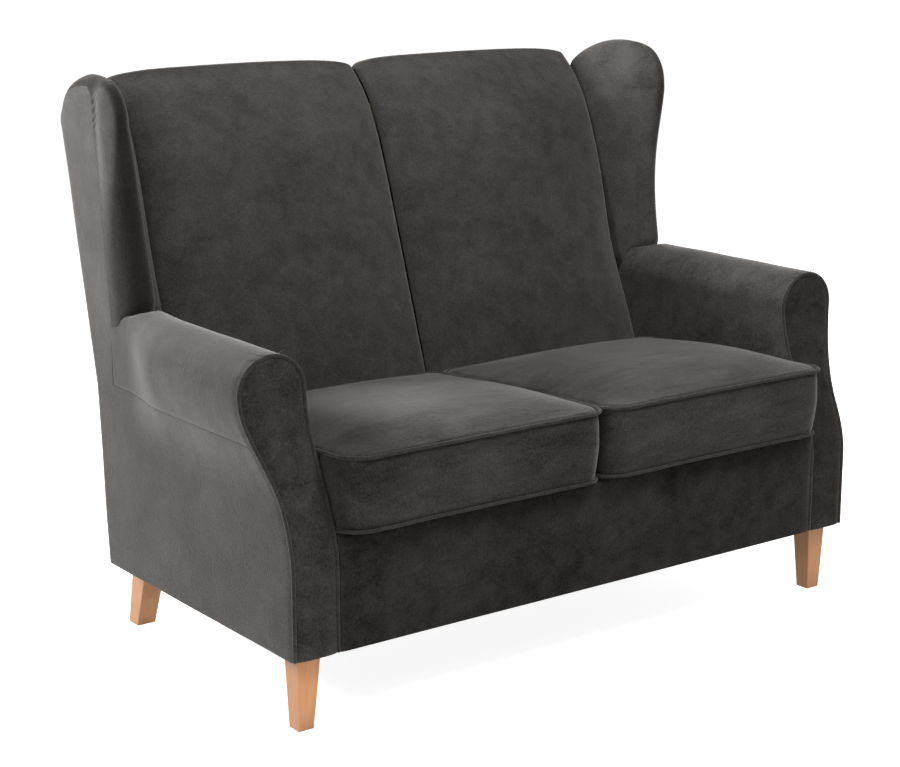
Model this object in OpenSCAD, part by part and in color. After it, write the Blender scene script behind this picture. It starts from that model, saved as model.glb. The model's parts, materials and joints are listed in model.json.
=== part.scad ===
// Two-seater wing-back sofa: a beech and plywood frame with sinuous seat springs,
// foam pads under a soft cloth, piped scroll arms and two loose box cushions.
// X runs across the sofa, +Y towards its back and +Z up, in millimetres.
// The origin is on the floor under the middle of the overall box.

/* [Body] */
// Clear width between the two arms
seat_w = 1114; // [1000:10:1420]
// Width of an arm at its foot
arm_w = 93; // [88:1:105]
// Height of the underside above the floor
leg_h = 137; // [110:1:180]

/* [Arms] */
// Height of the arm's top
arm_h = 640; // [600:5:680]
// Width of the scroll on the arm
roll_w = 133; // [115:1:150]
// How far the arm's front swings back between its foot and its scroll
arm_sweep = 93; // [40:1:120]
// Height at which the arm's front starts to swing back
sweep_z = 285; // [240:5:330]
// Height at which the arm's side starts to flare into the scroll
flare_z = 388; // [350:5:430]
// Height of the seam under the scroll
roll_seam_z = 492; // [470:1:520]
// Thickness of the padding on the arm
arm_pad = 22; // [16:1:26]
// Length in front of the wing over which the scroll's overhang fades out
fade_l = 167; // [120:1:200]

/* [Back] */
// Height of the back at its middle seam
back_h = 1031; // [1010:1:1060]
// Height at which the back starts to rake
knee_z = 480; // [440:5:520]
// How far the back face leans out between the underside and that height
knee_out = 22; // [10:1:40]
// How far it rakes further back between there and the back's top edge
back_rake = 119; // [100:1:140]
// Depth of the seat up to the back's middle seam, level with the cushions
seat_depth = 521; // [490:1:590]
// Depth of the back from that seam's place to the outer face at the underside
back_depth = 134; // [125:1:150]
// Crown of the back panels in front of their seams
back_crown = 38; // [15:1:45]
// Crown of the back panels at their top edge
top_crown = 19; // [8:1:25]
// Crown of the back panels where they go behind the cushions
low_crown = 8; // [4:1:14]
// Drop from the back's top at its middle seam down to the panels' hem on the rear face
rear_hem = 26; // [20:1:36]

/* [Wings] */
// Height of the wings' top
wing_h = 1053; // [1030:1:1080]
// Thickness of a wing's nose at the arm
wing_t = 64; // [58:1:70]
// Depth of that rounded nose, from front to rear
wing_nose = 60; // [40:2:70]
// How far the front of the wing's upper lobe stands behind the seat's depth
wing_set = 29; // [15:1:40]
// How much further forward the wing's foot is than its lobe
wing_foot = 20; // [0:1:30]
// Depth of the hollow in the wing's front edge
wing_waist = 15; // [5:1:25]
// How far the lobe's outer side flares out
wing_flare_out = 14; // [0:1:20]
// How far its inner side flares out
wing_flare_in = 26; // [0:1:32]
// Height of the wing's top above the middle of its round upper lobe
lobe_b = 88; // [75:1:100]
// Distance of the seam on the wing's outside behind its front edge, at the arm
wing_seam = 80; // [70:1:90]
// How much further back that seam is at the lobe
wing_seam_lean = 38; // [20:1:45]
// Distance of the seam below the lobe's top
wing_seam_drop = 20; // [14:1:28]
// How far a wing stands proud of the side panel
wing_proud = 2; // [1:0.5:4]

/* [Seat] */
// Height of the seat deck at its front edge
deck_z0 = 343; // [325:1:360]
// Slope of the seat down to the back, in degrees
seat_slope = 3; // [1:0.5:4]
// Thickness of the seat deck's felt and cloth
deck_t = 12; // [8:1:16]
// Height of a cushion between its lower and its upper edge
cushion_h = 134; // [110:1:150]
// Crown of a cushion's top above its edge
cushion_crown = 26; // [10:1:35]
// How far the cushions' upper front edge stands in front of the frame
cushion_nose = 40; // [25:1:50]
// How much further forward a cushion's upper edge is than its lower edge
cushion_lean = 15; // [5:1:20]
// Room between a cushion's rear edge and the back panel
cushion_play = 2; // [0.5:0.5:6]
// How far a cushion's sides pull in between their corners
cushion_draw = 3; // [0:0.5:6]
// Outward swell of a cushion's sides between the two piped edges
cushion_swell = 4; // [0:0.5:5.5]
// Radius of a cushion's front corners in plan
cushion_corner = 42; // [25:1:60]
// Foam core's distance inside the cushion's sides
core_inset = 24; // [15:1:35]

/* [Piping] */
// Diameter of the piping round the arm fronts
arm_piping_d = 7; // [5:0.5:9]
// Diameter of the piping round the cushions
cushion_piping_d = 6.4; // [5:0.2:8]

/* [Covers] */
// Thickness of the side panels and of the outer back
skin_t = 5; // [3:0.5:6]
// Thickness of the front rail's padding
border_t = 14; // [8:1:18]
// Thickness of the dust cover under the seat
dust_t = 1.2; // [0.8:0.2:2]

/* [Frame] */
// Thickness of the solid rails
rail_t = 25; // [20:1:30]
// Height of the side and rear rails
rail_h = 100; // [70:5:120]
// Thickness of the plywood boards in the arms
ply_t = 12; // [9:1:15]
// Thickness of the plywood boards in the wings
wing_board_t = 15; // [12:1:18]
// Depth of the back posts, from front to rear
post_d = 45; // [35:1:50]
// Height of the back's top rail
top_rail_h = 70; // [50:5:90]
// Width of the rail in the arm's scroll
arm_rail_w = 42; // [36:1:44]
// Width of the post in the middle of the back
centre_post_w = 40; // [30:5:60]
// Height of the corner blocks that hold the legs
block_h = 50; // [40:1:60]

/* [Springs] */
// Number of seat springs under each cushion
springs_each = 4; // [2:1:5]
// Diameter of the spring wire
wire_d = 3.8; // [3:0.1:4.5]
// Width of a spring over its loops
spring_w = 48; // [36:1:56]
// Number of loops along a spring
spring_loops = 18; // [12:2:22]
// Number of webbing straps across the back
straps = 6; // [3:1:7]
// Width of a webbing strap
strap_w = 50; // [30:5:60]

/* [Legs] */
// Width of a front leg at its top
leg_top = 45; // [40:1:50]
// Width of a front leg at its foot
leg_foot = 31; // [24:1:38]
// Distance of the front legs' middle inside the side panel's outer face
leg_inset = 45; // [43:1:48]
// Distance of the front legs behind the front face
leg_front_y = 46; // [42:1:60]
// Depth of a rear leg at its top
rear_leg_top = 52; // [46:1:54]
// Depth of a rear leg at its foot
rear_leg_foot = 35; // [28:1:40]
// The same distance for the rear legs
rear_leg_inset = 70; // [68:1:76]
// How far the rear legs' feet stand behind their tops
rear_splay = 42; // [0:1:50]
// Diameter of the bolts in the legs
bolt_d = 8; // [6:1:9]

/* [Hidden] */
$fn = 32;

cloth = [0.30, 0.29, 0.28];
piping = [0.36, 0.35, 0.34];
timber = [0.80, 0.68, 0.50];
ply = [0.86, 0.76, 0.60];
beech = [0.85, 0.65, 0.48];
steel = [0.62, 0.63, 0.65];
foam = [0.93, 0.90, 0.78];
felt = [0.16, 0.16, 0.17];
webbing = [0.72, 0.66, 0.52];

// Clearance between two pieces that lie against each other
gap = 0.3;
// Longest reach used by cutting blocks
big = 3000;
// Underside of the timber frame
base_z = leg_h + dust_t;
// The back's outer face at the underside, and the wing's foremost reach
foot_y = seat_depth + back_depth;
wing_front_y = seat_depth + wing_set;
wing_foot_y = wing_front_y - wing_foot;

// The arm's form
inner_x = seat_w / 2;
side_x = inner_x + arm_w;
roll_r = roll_w / 2;
roll_z = arm_h - roll_r;
roll_out = roll_w - arm_w;
// The wing's foot hides the last of the fade
crease_hidden = 27;
crease_y = wing_foot_y + crease_hidden;
fade_y = crease_y - fade_l;
flare_steps = 7;
arc_step = 15;

// The front stack on an arm: cloth, then plywood
front_cloth = arm_piping_d;
front_board_y = front_cloth + gap;
front_stack = front_board_y + ply_t + gap;
// The arm's other covers start behind the sloping piping
cover_front = front_cloth + 2 * gap;
arm_board_x = inner_x + arm_pad + gap;
// The cover is tucked in below the deck
cover_tuck = 43;
arm_cover_low = deck_z0 - cover_tuck;
// The scroll's rail stands on the plywood side, a little below the scroll's middle,
// and its round top leaves more padding than the sides
arm_rail_drop = 14;
arm_rail_pad = 10;
arm_rail_z = roll_z - arm_rail_drop;
arm_rail_x = arm_board_x + ply_t / 2;

// The back's form
knee_y = foot_y + knee_out;
back_top_y = knee_y + back_rake;
rear_hem_z = back_h - rear_hem;
back_frame = post_d + skin_t + gap;
strap_t = 1.5;
pad_rear = back_frame + strap_t + gap;
post_x = side_x - skin_t - wing_board_t - rail_t;
// Padding over the top rail, up to the hem
top_pad = 45;
top_rail_top = rear_hem_z - top_pad;
top_rail_z = top_rail_top - top_rail_h;
// The lowest strap lies this far below the knee
strap_drop = 70;
strap_low = knee_z - strap_drop;
// The panels stand on the deck this far in front of the seat's full depth
panel_foot = 45;
pad_low = deck_z(seat_depth - panel_foot) + gap;

// The line of the back panels' seams: it leans by back_lean over the height bend_span,
// above the cushions' level at bend_z, and rolls back further by back_bend close to the
// top. Below that level it leans by foot_lean over the same height.
bend_z = 433;
bend_span = 600;
back_lean = 205;
foot_lean = 140;
back_bend = 55;
bend_power = 10;
crown_rise = 250;
roll_over = 100;
lip = 70;

// The wings' form
wing_out_x = side_x + wing_proud;
wing_in_x = wing_out_x - wing_t;
// The wing's form starts this far below the arm's top, which cuts its foot to shape
wing_sink = 40;
wing_low_z = arm_h - wing_sink;
lobe_z = wing_h - lobe_b;
lobe_y = (wing_front_y + rear_y(lobe_z)) / 2 + 1;
lobe_rear = rear_y(lobe_z) - skin_t - gap - lobe_y;
lobe_front = lobe_y - wing_front_y;
wing_seam_y = wing_foot_y + wing_seam;
lobe_seam = lobe_y - wing_seam_y - wing_seam_lean;
board_inset = 62;
// The wing's board reaches down to this height above the side rail, narrower in the arm
board_rise = 60;
board_neck = 20;
board_low_z = base_z + rail_h + board_rise;
neck_y = wing_seam_y + board_neck;
panel_edge_x = inner_x - gap;

// The seat's form
wire_r = wire_d / 2;
clip_t = 1;
clip_w = 16;
clip_stack = 2 * clip_t + wire_d + 3 * gap;
rail_front_y = border_t + gap;
rail_rear_y = rail_front_y + rail_t;
front_rail_top = deck_z(rail_rear_y) - deck_t - clip_stack - gap;
// The rear spring rail stands free of the back posts
spring_rail_room = 20;
spring_rail_y = foot_y - back_frame - rail_t - spring_rail_room;
spring_rail_h = 45;
spring_rail_top = deck_z(spring_rail_y + rail_t) - deck_t - clip_stack - gap;

// The legs and the blocks that hold them
leg_front_x = side_x - leg_inset;
leg_rear_x = side_x - rear_leg_inset;
leg_rear_y = foot_y - skin_t - gap - rear_leg_top / 2;
// Room round the legs' blocks
block_room = 5;
block_edge = 1.5;
block_y = spring_rail_y + rail_t + block_room;
block_rear_y = leg_front_y + leg_top + block_edge;
rear_block_x = leg_rear_x - leg_top / 2 - block_edge;
// A leg's foot stands this far out, and a rear leg's is wider
foot_out = 4;
rear_foot_extra = 8;
bolt_in_leg = 38;
bolt_play = 3;
nut_h = 12;
nut_flange_t = 1.5;
nut_flange_d = 20;

// The cushions' form
pipe_r = cushion_piping_d / 2;
cushion_x0 = gap;
cushion_x1 = inner_x - 2 * gap;
cushion_a = (cushion_x1 - cushion_x0) / 2 - cushion_piping_d;
cushion_xc = (cushion_x1 + cushion_x0) / 2;
upper_pipe_z = cushion_h - pipe_r;
nose_y = (-cushion_nose + pipe_r - upper_pipe_z * sin(seat_slope)) / cos(seat_slope) + pipe_r;
cushion_y0 = nose_y + cushion_lean;
cushion_y1 = seam_y(pad_low) - low_crown - cushion_piping_d - cushion_play;
cushion_b = (cushion_y1 - cushion_y0) / 2;
cushion_yc = (cushion_y1 + cushion_y0) / 2;
rear_corner = 24;
crown_cap = 0.1;

// The origin lies under the middle of the overall depth
middle_y = (back_top_y - cushion_nose) / 2;

function ease(t) = let (u = min(1, max(0, t))) u * u * (3 - 2 * u);
function mix(a, b, t) = a + (b - a) * t;
function unit(v) = v / norm(v);

// Height of the sloping seat deck at a distance y behind the front face
function deck_z(y) = deck_z0 - y * tan(seat_slope);
// Outer face of the back at height z: upright to the knee, then raked
function rear_y(z) = z < knee_z
    ? mix(foot_y, knee_y, (z - leg_h) / (knee_z - leg_h))
    : mix(knee_y, back_top_y, (z - knee_z) / (back_h - knee_z));
// The back panels' seam line in side view, which leans and then rolls over the top
function seam_y(z) = let (t = (z - bend_z) / bend_span)
    seat_depth + back_lean * max(t, 0) + foot_lean * min(t, 0) + back_bend * pow(max(t, 0), bend_power);
function seam_slope(z) = let (t = (z - bend_z) / bend_span)
    ((t > 0 ? back_lean : foot_lean) + bend_power * back_bend * pow(max(t, 0), bend_power - 1)) / bend_span;
// Front edge of an arm in side view
function arm_front_y(z) = arm_sweep * ease((z - sweep_z) / (roll_z - sweep_z));
// Outer reach of the scroll, which fades into the side panel towards the wing
function roll_x(y) = side_x + roll_out * (1 - ease((y - fade_y) / (crease_y - fade_y)));

// Joins rings of points into a closed solid. The rings run away from a viewer
// who sees each of them counter-clockwise.
module loft(rings) {
    n = len(rings[0]);
    m = len(rings);
    points = [for (ring = rings) for (p = ring) p];
    sides = [for (i = [0:m - 2]) for (j = [0:n - 1]) let (
        a = i * n + j, b = i * n + (j + 1) % n
    ) each [[a, b, b + n], [a, b + n, a + n]]];
    first = [[for (j = [n - 1:-1:0]) j]];
    last = [[for (j = [0:n - 1]) (m - 1) * n + j]];
    polyhedron(points, concat(sides, first, last));
}

// Rings of a round tube along a path. Up is a direction that the path never takes.
function tube_rings(path, r, sides, up, closed) = let (n = len(path))
    [for (i = [0:n - 1]) let (
        before = path[closed ? (i + n - 1) % n : max(i - 1, 0)],
        after = path[closed ? (i + 1) % n : min(i + 1, n - 1)],
        t = unit(after - before),
        u = unit(cross(t, up)),
        v = cross(u, t)
    ) [for (k = [0:sides - 1]) let (a = 360 * k / sides) path[i] + r * (cos(a) * u + sin(a) * v)]];

module tube(path, r, sides, up) {
    loft(tube_rings(path, r, sides, up, false));
}

module ring_tube(path, r, sides, up) {
    rings = tube_rings(path, r, sides, up, true);
    m = len(rings);
    points = [for (ring = rings) for (p = ring) p];
    faces = [for (i = [0:m - 1]) for (j = [0:sides - 1]) let (
        next = ((i + 1) % m) * sides,
        a = i * sides + j,
        b = i * sides + (j + 1) % sides,
        c = next + (j + 1) % sides,
        d = next + j
    ) each [[a, b, c], [a, c, d]]];
    polyhedron(points, faces);
}

// A polygon in the YZ plane, drawn out along X from x0 to x1
module along_x(points, x0, x1) {
    translate([x0, 0, 0]) rotate([90, 0, 90]) linear_extrude(x1 - x0) polygon(points);
}

// A polygon in the XZ plane, drawn out along Y from y0 to y1
module along_y(points, y0, y1) {
    translate([0, y1, 0]) rotate([90, 0, 0]) linear_extrude(y1 - y0) polygon(points);
}

module block(low, high) {
    translate(low) cube(high - low);
}

module stand() {
    translate([0, -middle_y, 0]) children();
}

module left() {
    mirror([1, 0, 0]) children();
}

module both() {
    children();
    left() children();
}

// Outline of an arm at the distance y behind the front face, drawn in by d
function arm_ring(y, d) = let (
    out = roll_x(y), mid = (inner_x + out) / 2, half = (out - inner_x) / 2
) concat(
    [[inner_x + d, y, leg_h - d], [side_x - d, y, leg_h - d]],
    [for (k = [0:flare_steps]) let (t = k / flare_steps)
        [mix(side_x, out, ease(t)) - d, y, mix(flare_z, roll_z, t)]],
    [for (a = [arc_step:arc_step:180])
        [mid + (half - d) * cos(a), y, roll_z + (roll_r - d) * sin(a)]]
);

// The arm's whole form, from in front of the sofa to the wing
module arm_form(d) {
    stations = concat([-60, fade_y], [for (k = [1:5]) mix(fade_y, crease_y, k / 5)], [big]);
    loft([for (y = stations) arm_ring(y, d)]);
}

// Heights along the arm's front edge, closer together where it bends
function sweep_heights(low, high) = concat(
    [low],
    [for (k = [0:10]) let (z = mix(sweep_z, roll_z, k / 10)) if (z > low + 1 && z < high - 1) z],
    [high]
);

// Side view of the arm between its swept front edge, set back by front, and its rear
function arm_side(front, low, high, rear) = concat(
    [for (z = sweep_heights(low, high)) [arm_front_y(z) + front, z]],
    [[rear, high], [rear, low]]
);

// A sloping strip in side view that follows the back's outer face
function back_strip(z0, z1, front, rear) = let (
    heights = (z0 < knee_z && z1 > knee_z) ? [z0, knee_z, z1] : [z0, z1]
) concat(
    [for (z = heights) [rear_y(z) - front, z]],
    [for (i = [len(heights) - 1:-1:0]) [rear_y(heights[i]) - rear, heights[i]]]
);

// Front edge of the wing, drawn in by d: its foot stands forward, its waist is hollow
function wing_edge_y(z, d) = let (t = (z - wing_low_z) / (lobe_z - wing_low_z))
    mix(wing_foot_y, wing_front_y, t) + wing_waist * sin(180 * t) + d;
// The same as points, from below the lobe down to a height
function wing_front(d, low) = [for (k = [6:-1:0]) let (z = mix(low, lobe_z, k / 7)) [wing_edge_y(z, d), z]];
// The lobe, from its rear over its top to the front: reach is its length to the front
function lobe_arc(d, reach) = [for (a = [arc_step:arc_step:180]) let (
    w = a < 60 ? a / 60 : 1,
    half = a > 90 ? reach : lobe_rear
) [lobe_y + (half - d * w) * cos(a), lobe_z + (lobe_b - d * w) * sin(a)]];

// Side view of a wing from its foot over its lobe to its rear edge, drawn in by d.
// The rear edge lies against the outer back and isn't drawn in.
function wing_side(d, low, rear) = concat(
    wing_front(d, low),
    [[rear_y(low) - rear, low], [rear_y(lobe_z) - rear, lobe_z]],
    lobe_arc(d, lobe_front)
);

// How far the point (y, z) lies inside the wing's side view, and how round the edge is
// there: 1 at the front and the top, and 0 at the rear
function wing_inset(y, z) = z <= lobe_z ? y - wing_edge_y(z, 0) : let (
    v = [y - lobe_y, z - lobe_z],
    share = norm([v[0] / (v[0] < 0 ? lobe_front : lobe_rear), v[1] / lobe_b])
) norm(v) * (1 / max(share, 0.01) - 1);
function wing_round(y, z) = z <= lobe_z ? (y < lobe_y ? 1 : 0) : min(1, atan2(z - lobe_z, y - lobe_y) / 60);
// Share of a wing's full thickness at the depth d behind a rounded edge of depth r
edge_share = 0.05;
function nose_share(d, r) = let (t = 1 - min(1, max(0, d) / r)) max(edge_share, sqrt(1 - t * t));
// Share of the flare at a height
function flare_at(z) = pow(min(1, max(0, (z - arm_h) / (lobe_z - arm_h))), 2);
// Inner and outer face of a wing at (y, z). The inner face starts at the back panel's seam
// and slants out to the nose.
function wing_x(y, z) = let (
    seam = seam_y(z) - 2,
    front = z <= lobe_z ? wing_edge_y(z, 0) : lobe_y - lobe_front * sqrt(1 - pow((z - lobe_z) / lobe_b, 2)),
    slant = min(1, max(0, (seam - y) / (seam - front - wing_nose / 3))),
    inner = mix(inner_x + gap, wing_in_x + wing_flare_in * flare_at(z), slant),
    bow = ease((wing_seam_y + wing_seam_lean - y) / wing_nose),
    outer = wing_out_x + wing_flare_out * flare_at(z) * bow,
    mid = (inner + outer) / 2,
    half = (outer - inner) / 2,
    w = wing_round(y, z),
    d = wing_inset(y, z),
    inner_nose = min(wing_nose, seam - front)
) [mid - half * mix(1, nose_share(d, inner_nose), w), mid + half * mix(1, nose_share(d, wing_nose), w)];

// Level section of a wing at z, from its nose back along the inner face and forward outside
wing_shares = [0.01, 0.04, 0.09, 0.16, 0.26, 0.38, 0.52, 0.68, 0.84, 1];
function wing_section(z) = let (
    turn = z <= lobe_z ? 0 : asin((z - lobe_z) / lobe_b),
    front = z <= lobe_z ? wing_edge_y(z, 0) : lobe_y - lobe_front * cos(turn),
    rear = z <= lobe_z ? rear_y(z) - skin_t - gap : lobe_y + lobe_rear * cos(turn),
    ys = [for (t = wing_shares) mix(front, rear, t)]
) concat(
    [[(wing_x(front, z)[0] + wing_x(front, z)[1]) / 2, front, z]],
    [for (y = ys) [wing_x(y, z)[0], y, z]],
    [for (i = [len(ys) - 1:-1:0]) [wing_x(ys[i], z)[1], ys[i], z]]
);

module wing_form() {
    heights = concat(
        [for (k = [0:7]) mix(wing_low_z, lobe_z, k / 7)],
        [for (a = [15, 30, 45, 57, 68, 77, 85]) lobe_z + lobe_b * sin(a)]
    );
    loft([for (z = heights) wing_section(z)]);
}

// The seam on the wing's outside, from a height up its side and over the lobe, moved out by d
seam_bend = 10;
seam_top_z = lobe_z - seam_bend;
function wing_seam_at(z) = wing_seam_y + wing_seam_lean * (z - wing_low_z) / (seam_top_z - wing_low_z);
function seam_line(d, low) = concat(
    [for (z = [low, seam_top_z]) [wing_seam_at(z) - d, z]],
    [for (a = [180 - arc_step / 2:-arc_step:0]) let (half = d + (a > 90 ? lobe_seam : lobe_rear))
        [lobe_y + half * cos(a), lobe_z + (lobe_b - wing_seam_drop + d) * sin(a)]]
);

// Side view of the flat upper part of a side panel: up behind the arm's cover, along the
// wing's seam and down the rear
splice_overlap = 19;
splice_y = crease_y + splice_overlap;
upper_side = concat(
    [[splice_y, leg_h], [splice_y, roll_seam_z - 1]],
    [for (k = [0:4]) let (z = mix(roll_seam_z - 1, wing_low_z - gap, k / 4)) [seam_y(z) + gap, z]],
    seam_line(0, wing_low_z - gap),
    [for (z = [lobe_z, knee_z, leg_h]) [rear_y(z) - skin_t - gap, z]]
);

// How far a back panel stands out in front of its seams at the height z
function crown_at(z) = z > lobe_z - roll_over
    ? mix(back_crown, top_crown, ease((z - lobe_z + roll_over) / (back_h - lobe_z + roll_over)))
    : mix(low_crown, back_crown, ease((z - pad_low) / crown_rise));
function lift_angle(z) = mix(atan(seam_slope(z)), 90, ease((z - back_h + lip) / lip));
// Across a panel u runs from -1 at the middle seam to 1 at the outer one
function panel_x(u) = mix(gap / 2, panel_edge_x, (1 + u) / 2);
back_heights = [for (k = [0:18]) mix(back_h, pad_low, pow(k / 18, 1.7))];
// Section of a back panel: bulge is 0 at a seam and 1 at the panel's middle
function back_section(bulge) = concat(
    [[back_top_y, back_h + top_crown * bulge]],
    [for (z = back_heights) let (c = crown_at(z) * bulge, a = lift_angle(z))
        [seam_y(z) - c * cos(a), z + c * sin(a)]],
    [[rear_y(pad_low) - pad_rear, pad_low]],
    [[rear_y(knee_z) - pad_rear, knee_z]],
    [[rear_y(top_rail_top) - pad_rear, top_rail_top + gap]],
    [[rear_y(top_rail_top) - skin_t - gap, top_rail_top + gap]],
    [[rear_y(rear_hem_z) - skin_t - gap, rear_hem_z + gap]],
    [[rear_y(rear_hem_z), rear_hem_z + gap]]
);

module back_pad() {
    spread = [1, 0.985, 0.95, 0.88, 0.76, 0.58, 0.34, 0.1, -0.15, -0.4, -0.62, -0.79, -0.9, -0.96,
        -0.988, -1];
    loft([for (u = spread) [for (p = back_section(pow(1 - pow(abs(u), 4), 0.6))) [panel_x(u), p[0], p[1]]]]);
}

// Plan outline of a cushion, grown by d: arcs at the corners, drawn-in sides between
function side_points(p, q, inward) = [for (t = [0.25, 0.5, 0.75])
    p + (q - p) * t + inward * cushion_draw * sin(180 * t)];
function corner_arc(cx, cy, r, a0) = [for (k = [0:5]) [cx + r * cos(a0 + 18 * k), cy + r * sin(a0 + 18 * k)]];
function cushion_outline(d) = let (
    a = cushion_a + d,
    b = cushion_b + d,
    f = cushion_corner + d,
    r = rear_corner + d
) concat(
    side_points([a, -b + f], [a, b - r], [-1, 0]),
    corner_arc(a - r, b - r, r, 0),
    side_points([a - r, b], [-a + r, b], [0, -1]),
    corner_arc(-a + r, b - r, r, 90),
    side_points([-a, b - r], [-a, -b + f], [1, 0]),
    corner_arc(-a + f, -b + f, f, 180),
    side_points([-a + f, -b], [a - f, -b], [0, 1]),
    corner_arc(a - f, -b + f, f, 270)
);
// The cushion leans forward with its height, most at its front edge
function lean_y(y, h) = y - cushion_lean * min(h / cushion_h, 1) * ease((cushion_b - y) / 2 / cushion_b);
function cushion_ring(d, h) = [for (p = cushion_outline(d))
    [cushion_xc + p[0], cushion_yc + lean_y(p[1], h), h]];
// A ring of the crowned top: the outline scaled towards its middle by s
function crown_share(t) = 1 - pow(max(abs(t), crown_cap), 3);
function crown_ring(s) = [for (p = cushion_outline(0)) [
    cushion_xc + s * p[0],
    cushion_yc + lean_y(s * p[1], cushion_h),
    cushion_h + cushion_crown * crown_share(s * p[0] / cushion_a) * crown_share(s * p[1] / cushion_b)
]];

module cushion_form() {
    loft(concat(
        [for (s = [crown_cap, 0.28, 0.46, 0.62, 0.76, 0.87, 0.95, 0.995]) crown_ring(s)],
        [for (t = [0.85, 0.5, 0.15, 0]) cushion_ring(cushion_swell * sin(180 * t), cushion_h * t)]
    ));
}

module core_form(d) {
    translate([0, 0, core_inset / 2 - d])
        linear_extrude(cushion_h - core_inset + 2 * d)
            polygon([for (p = cushion_ring(d - core_inset, 0)) [p[0], p[1]]]);
}

// Lays a piece on the sloping seat deck
module on_seat() {
    translate([0, 0, deck_z0 + gap]) rotate([-seat_slope, 0, 0]) children();
}

module front_rail() {
    color(timber) stand()
        block([-arm_board_x + gap, rail_front_y, base_z], [arm_board_x - gap, rail_rear_y, front_rail_top]);
}

module rear_rail() {
    end_x = rear_block_x - gap;
    color(timber) stand()
        along_x(back_strip(base_z, base_z + rail_h, skin_t + gap + rail_t, skin_t + gap), -end_x, end_x);
}

module side_rail() {
    rail_x = side_x - skin_t - gap;
    rear = rear_y(base_z) - back_frame - gap;
    block([rail_x - rail_t, front_stack, base_z], [rail_x, rear, base_z + rail_h]);
}

module side_rail_left() {
    color(timber) stand() left() side_rail();
}

module side_rail_right() {
    color(timber) stand() side_rail();
}

module seat_centre_rail() {
    rear = rear_y(base_z) - skin_t - rail_t - 2 * gap;
    color(timber) stand()
        block([-rail_t / 2, rail_rear_y + gap, base_z], [rail_t / 2, rear, base_z + rail_h - 20]);
}

module rear_spring_rail() {
    end_x = arm_board_x - gap;
    color(timber) stand()
        block([-end_x, spring_rail_y, spring_rail_top - spring_rail_h],
            [end_x, spring_rail_y + rail_t, spring_rail_top]);
}

module bolt_places() {
    translate([leg_front_x, leg_front_y, 0]) children();
    translate([leg_rear_x, leg_rear_y, 0]) children();
}

module corner_blocks() {
    front_x = arm_board_x + ply_t + gap;
    top = base_z + block_h;
    color(timber) stand() both() difference() {
        union() {
            block([front_x, front_stack, base_z], [side_x - skin_t - rail_t - 2 * gap, block_rear_y, top]);
            block([rear_block_x, block_y, base_z],
                [post_x - gap, rear_y(base_z) - skin_t - gap, top]);
        }
        bolt_places() translate([0, 0, base_z - 1]) cylinder(h = block_h + 2, d = bolt_d + bolt_play);
    }
}

module arm_board() {
    along_x(arm_side(front_stack, base_z, arm_rail_z - gap, block_y - gap),
        arm_board_x, arm_board_x + ply_t);
}

module arm_board_left() {
    color(ply) stand() left() arm_board();
}

module arm_board_right() {
    color(ply) stand() arm_board();
}

// A slab that follows the arm's swept front, from one depth to another behind it
module front_slab(front, rear, low) {
    heights = sweep_heights(low, arm_h);
    along_x(concat(
        [for (z = heights) [arm_front_y(z) + front, z]],
        [for (i = [len(heights) - 1:-1:0]) [arm_front_y(heights[i]) + rear, heights[i]]]
    ), inner_x, side_x + roll_out + 1);
}

// The arm's outline in front view, drawn in by d, as a prism through the arm's front
module front_prism(d) {
    along_y([for (p = arm_ring(0, d)) [p[0], max(p[2], leg_h)]], -1, arm_sweep + 60);
}

module arm_front_board() {
    intersection() {
        front_slab(front_board_y, front_board_y + ply_t, base_z);
        front_prism(arm_pad + gap);
    }
}

module arm_front_board_left() {
    color(ply) stand() left() arm_front_board();
}

module arm_front_board_right() {
    color(ply) stand() arm_front_board();
}

// The rail under the scroll's padding: flat below and round on top
module arm_top_rail() {
    half = arm_rail_w / 2;
    mid = arm_rail_x + half;
    rise = roll_r - arm_pad - arm_rail_pad;
    rear = rear_y(arm_rail_z) - pad_rear;
    along_y(concat(
        [[mid - half, arm_rail_z], [mid + half, arm_rail_z]],
        [for (a = [0:arc_step:180]) [mid + half * cos(a), roll_z + rise * sin(a)]]
    ), arm_sweep + front_stack, rear);
}

module arm_top_rail_left() {
    color(timber) stand() left() arm_top_rail();
}

module arm_top_rail_right() {
    color(timber) stand() arm_top_rail();
}

module back_post() {
    along_x(back_strip(base_z, top_rail_top, back_frame, skin_t + gap), post_x, post_x + rail_t - gap);
}

module back_post_left() {
    color(timber) stand() left() back_post();
}

module back_post_right() {
    color(timber) stand() back_post();
}

module back_centre_post() {
    color(timber) stand()
        along_x(back_strip(base_z + rail_h + gap, top_rail_z - gap, back_frame, skin_t + gap),
            -centre_post_w / 2, centre_post_w / 2);
}

module back_top_rail() {
    end_x = post_x - gap;
    color(timber) stand()
        along_x(back_strip(top_rail_z, top_rail_top, back_frame, skin_t + gap), -end_x, end_x);
}

// The wing's plywood board reaches down inside the arm behind its cover
module wing_board() {
    rear = skin_t + 2 * gap;
    along_x(concat(
        wing_front(board_inset, wing_low_z - 1),
        [[neck_y, wing_low_z - 2], [neck_y, board_low_z]],
        [for (z = [board_low_z, knee_z, lobe_z]) [rear_y(z) - rear, z]],
        lobe_arc(board_inset, lobe_front)
    ), post_x + rail_t, side_x - skin_t - gap);
}

module wing_board_left() {
    color(ply) stand() left() wing_board();
}

module wing_board_right() {
    color(ply) stand() wing_board();
}

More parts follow.
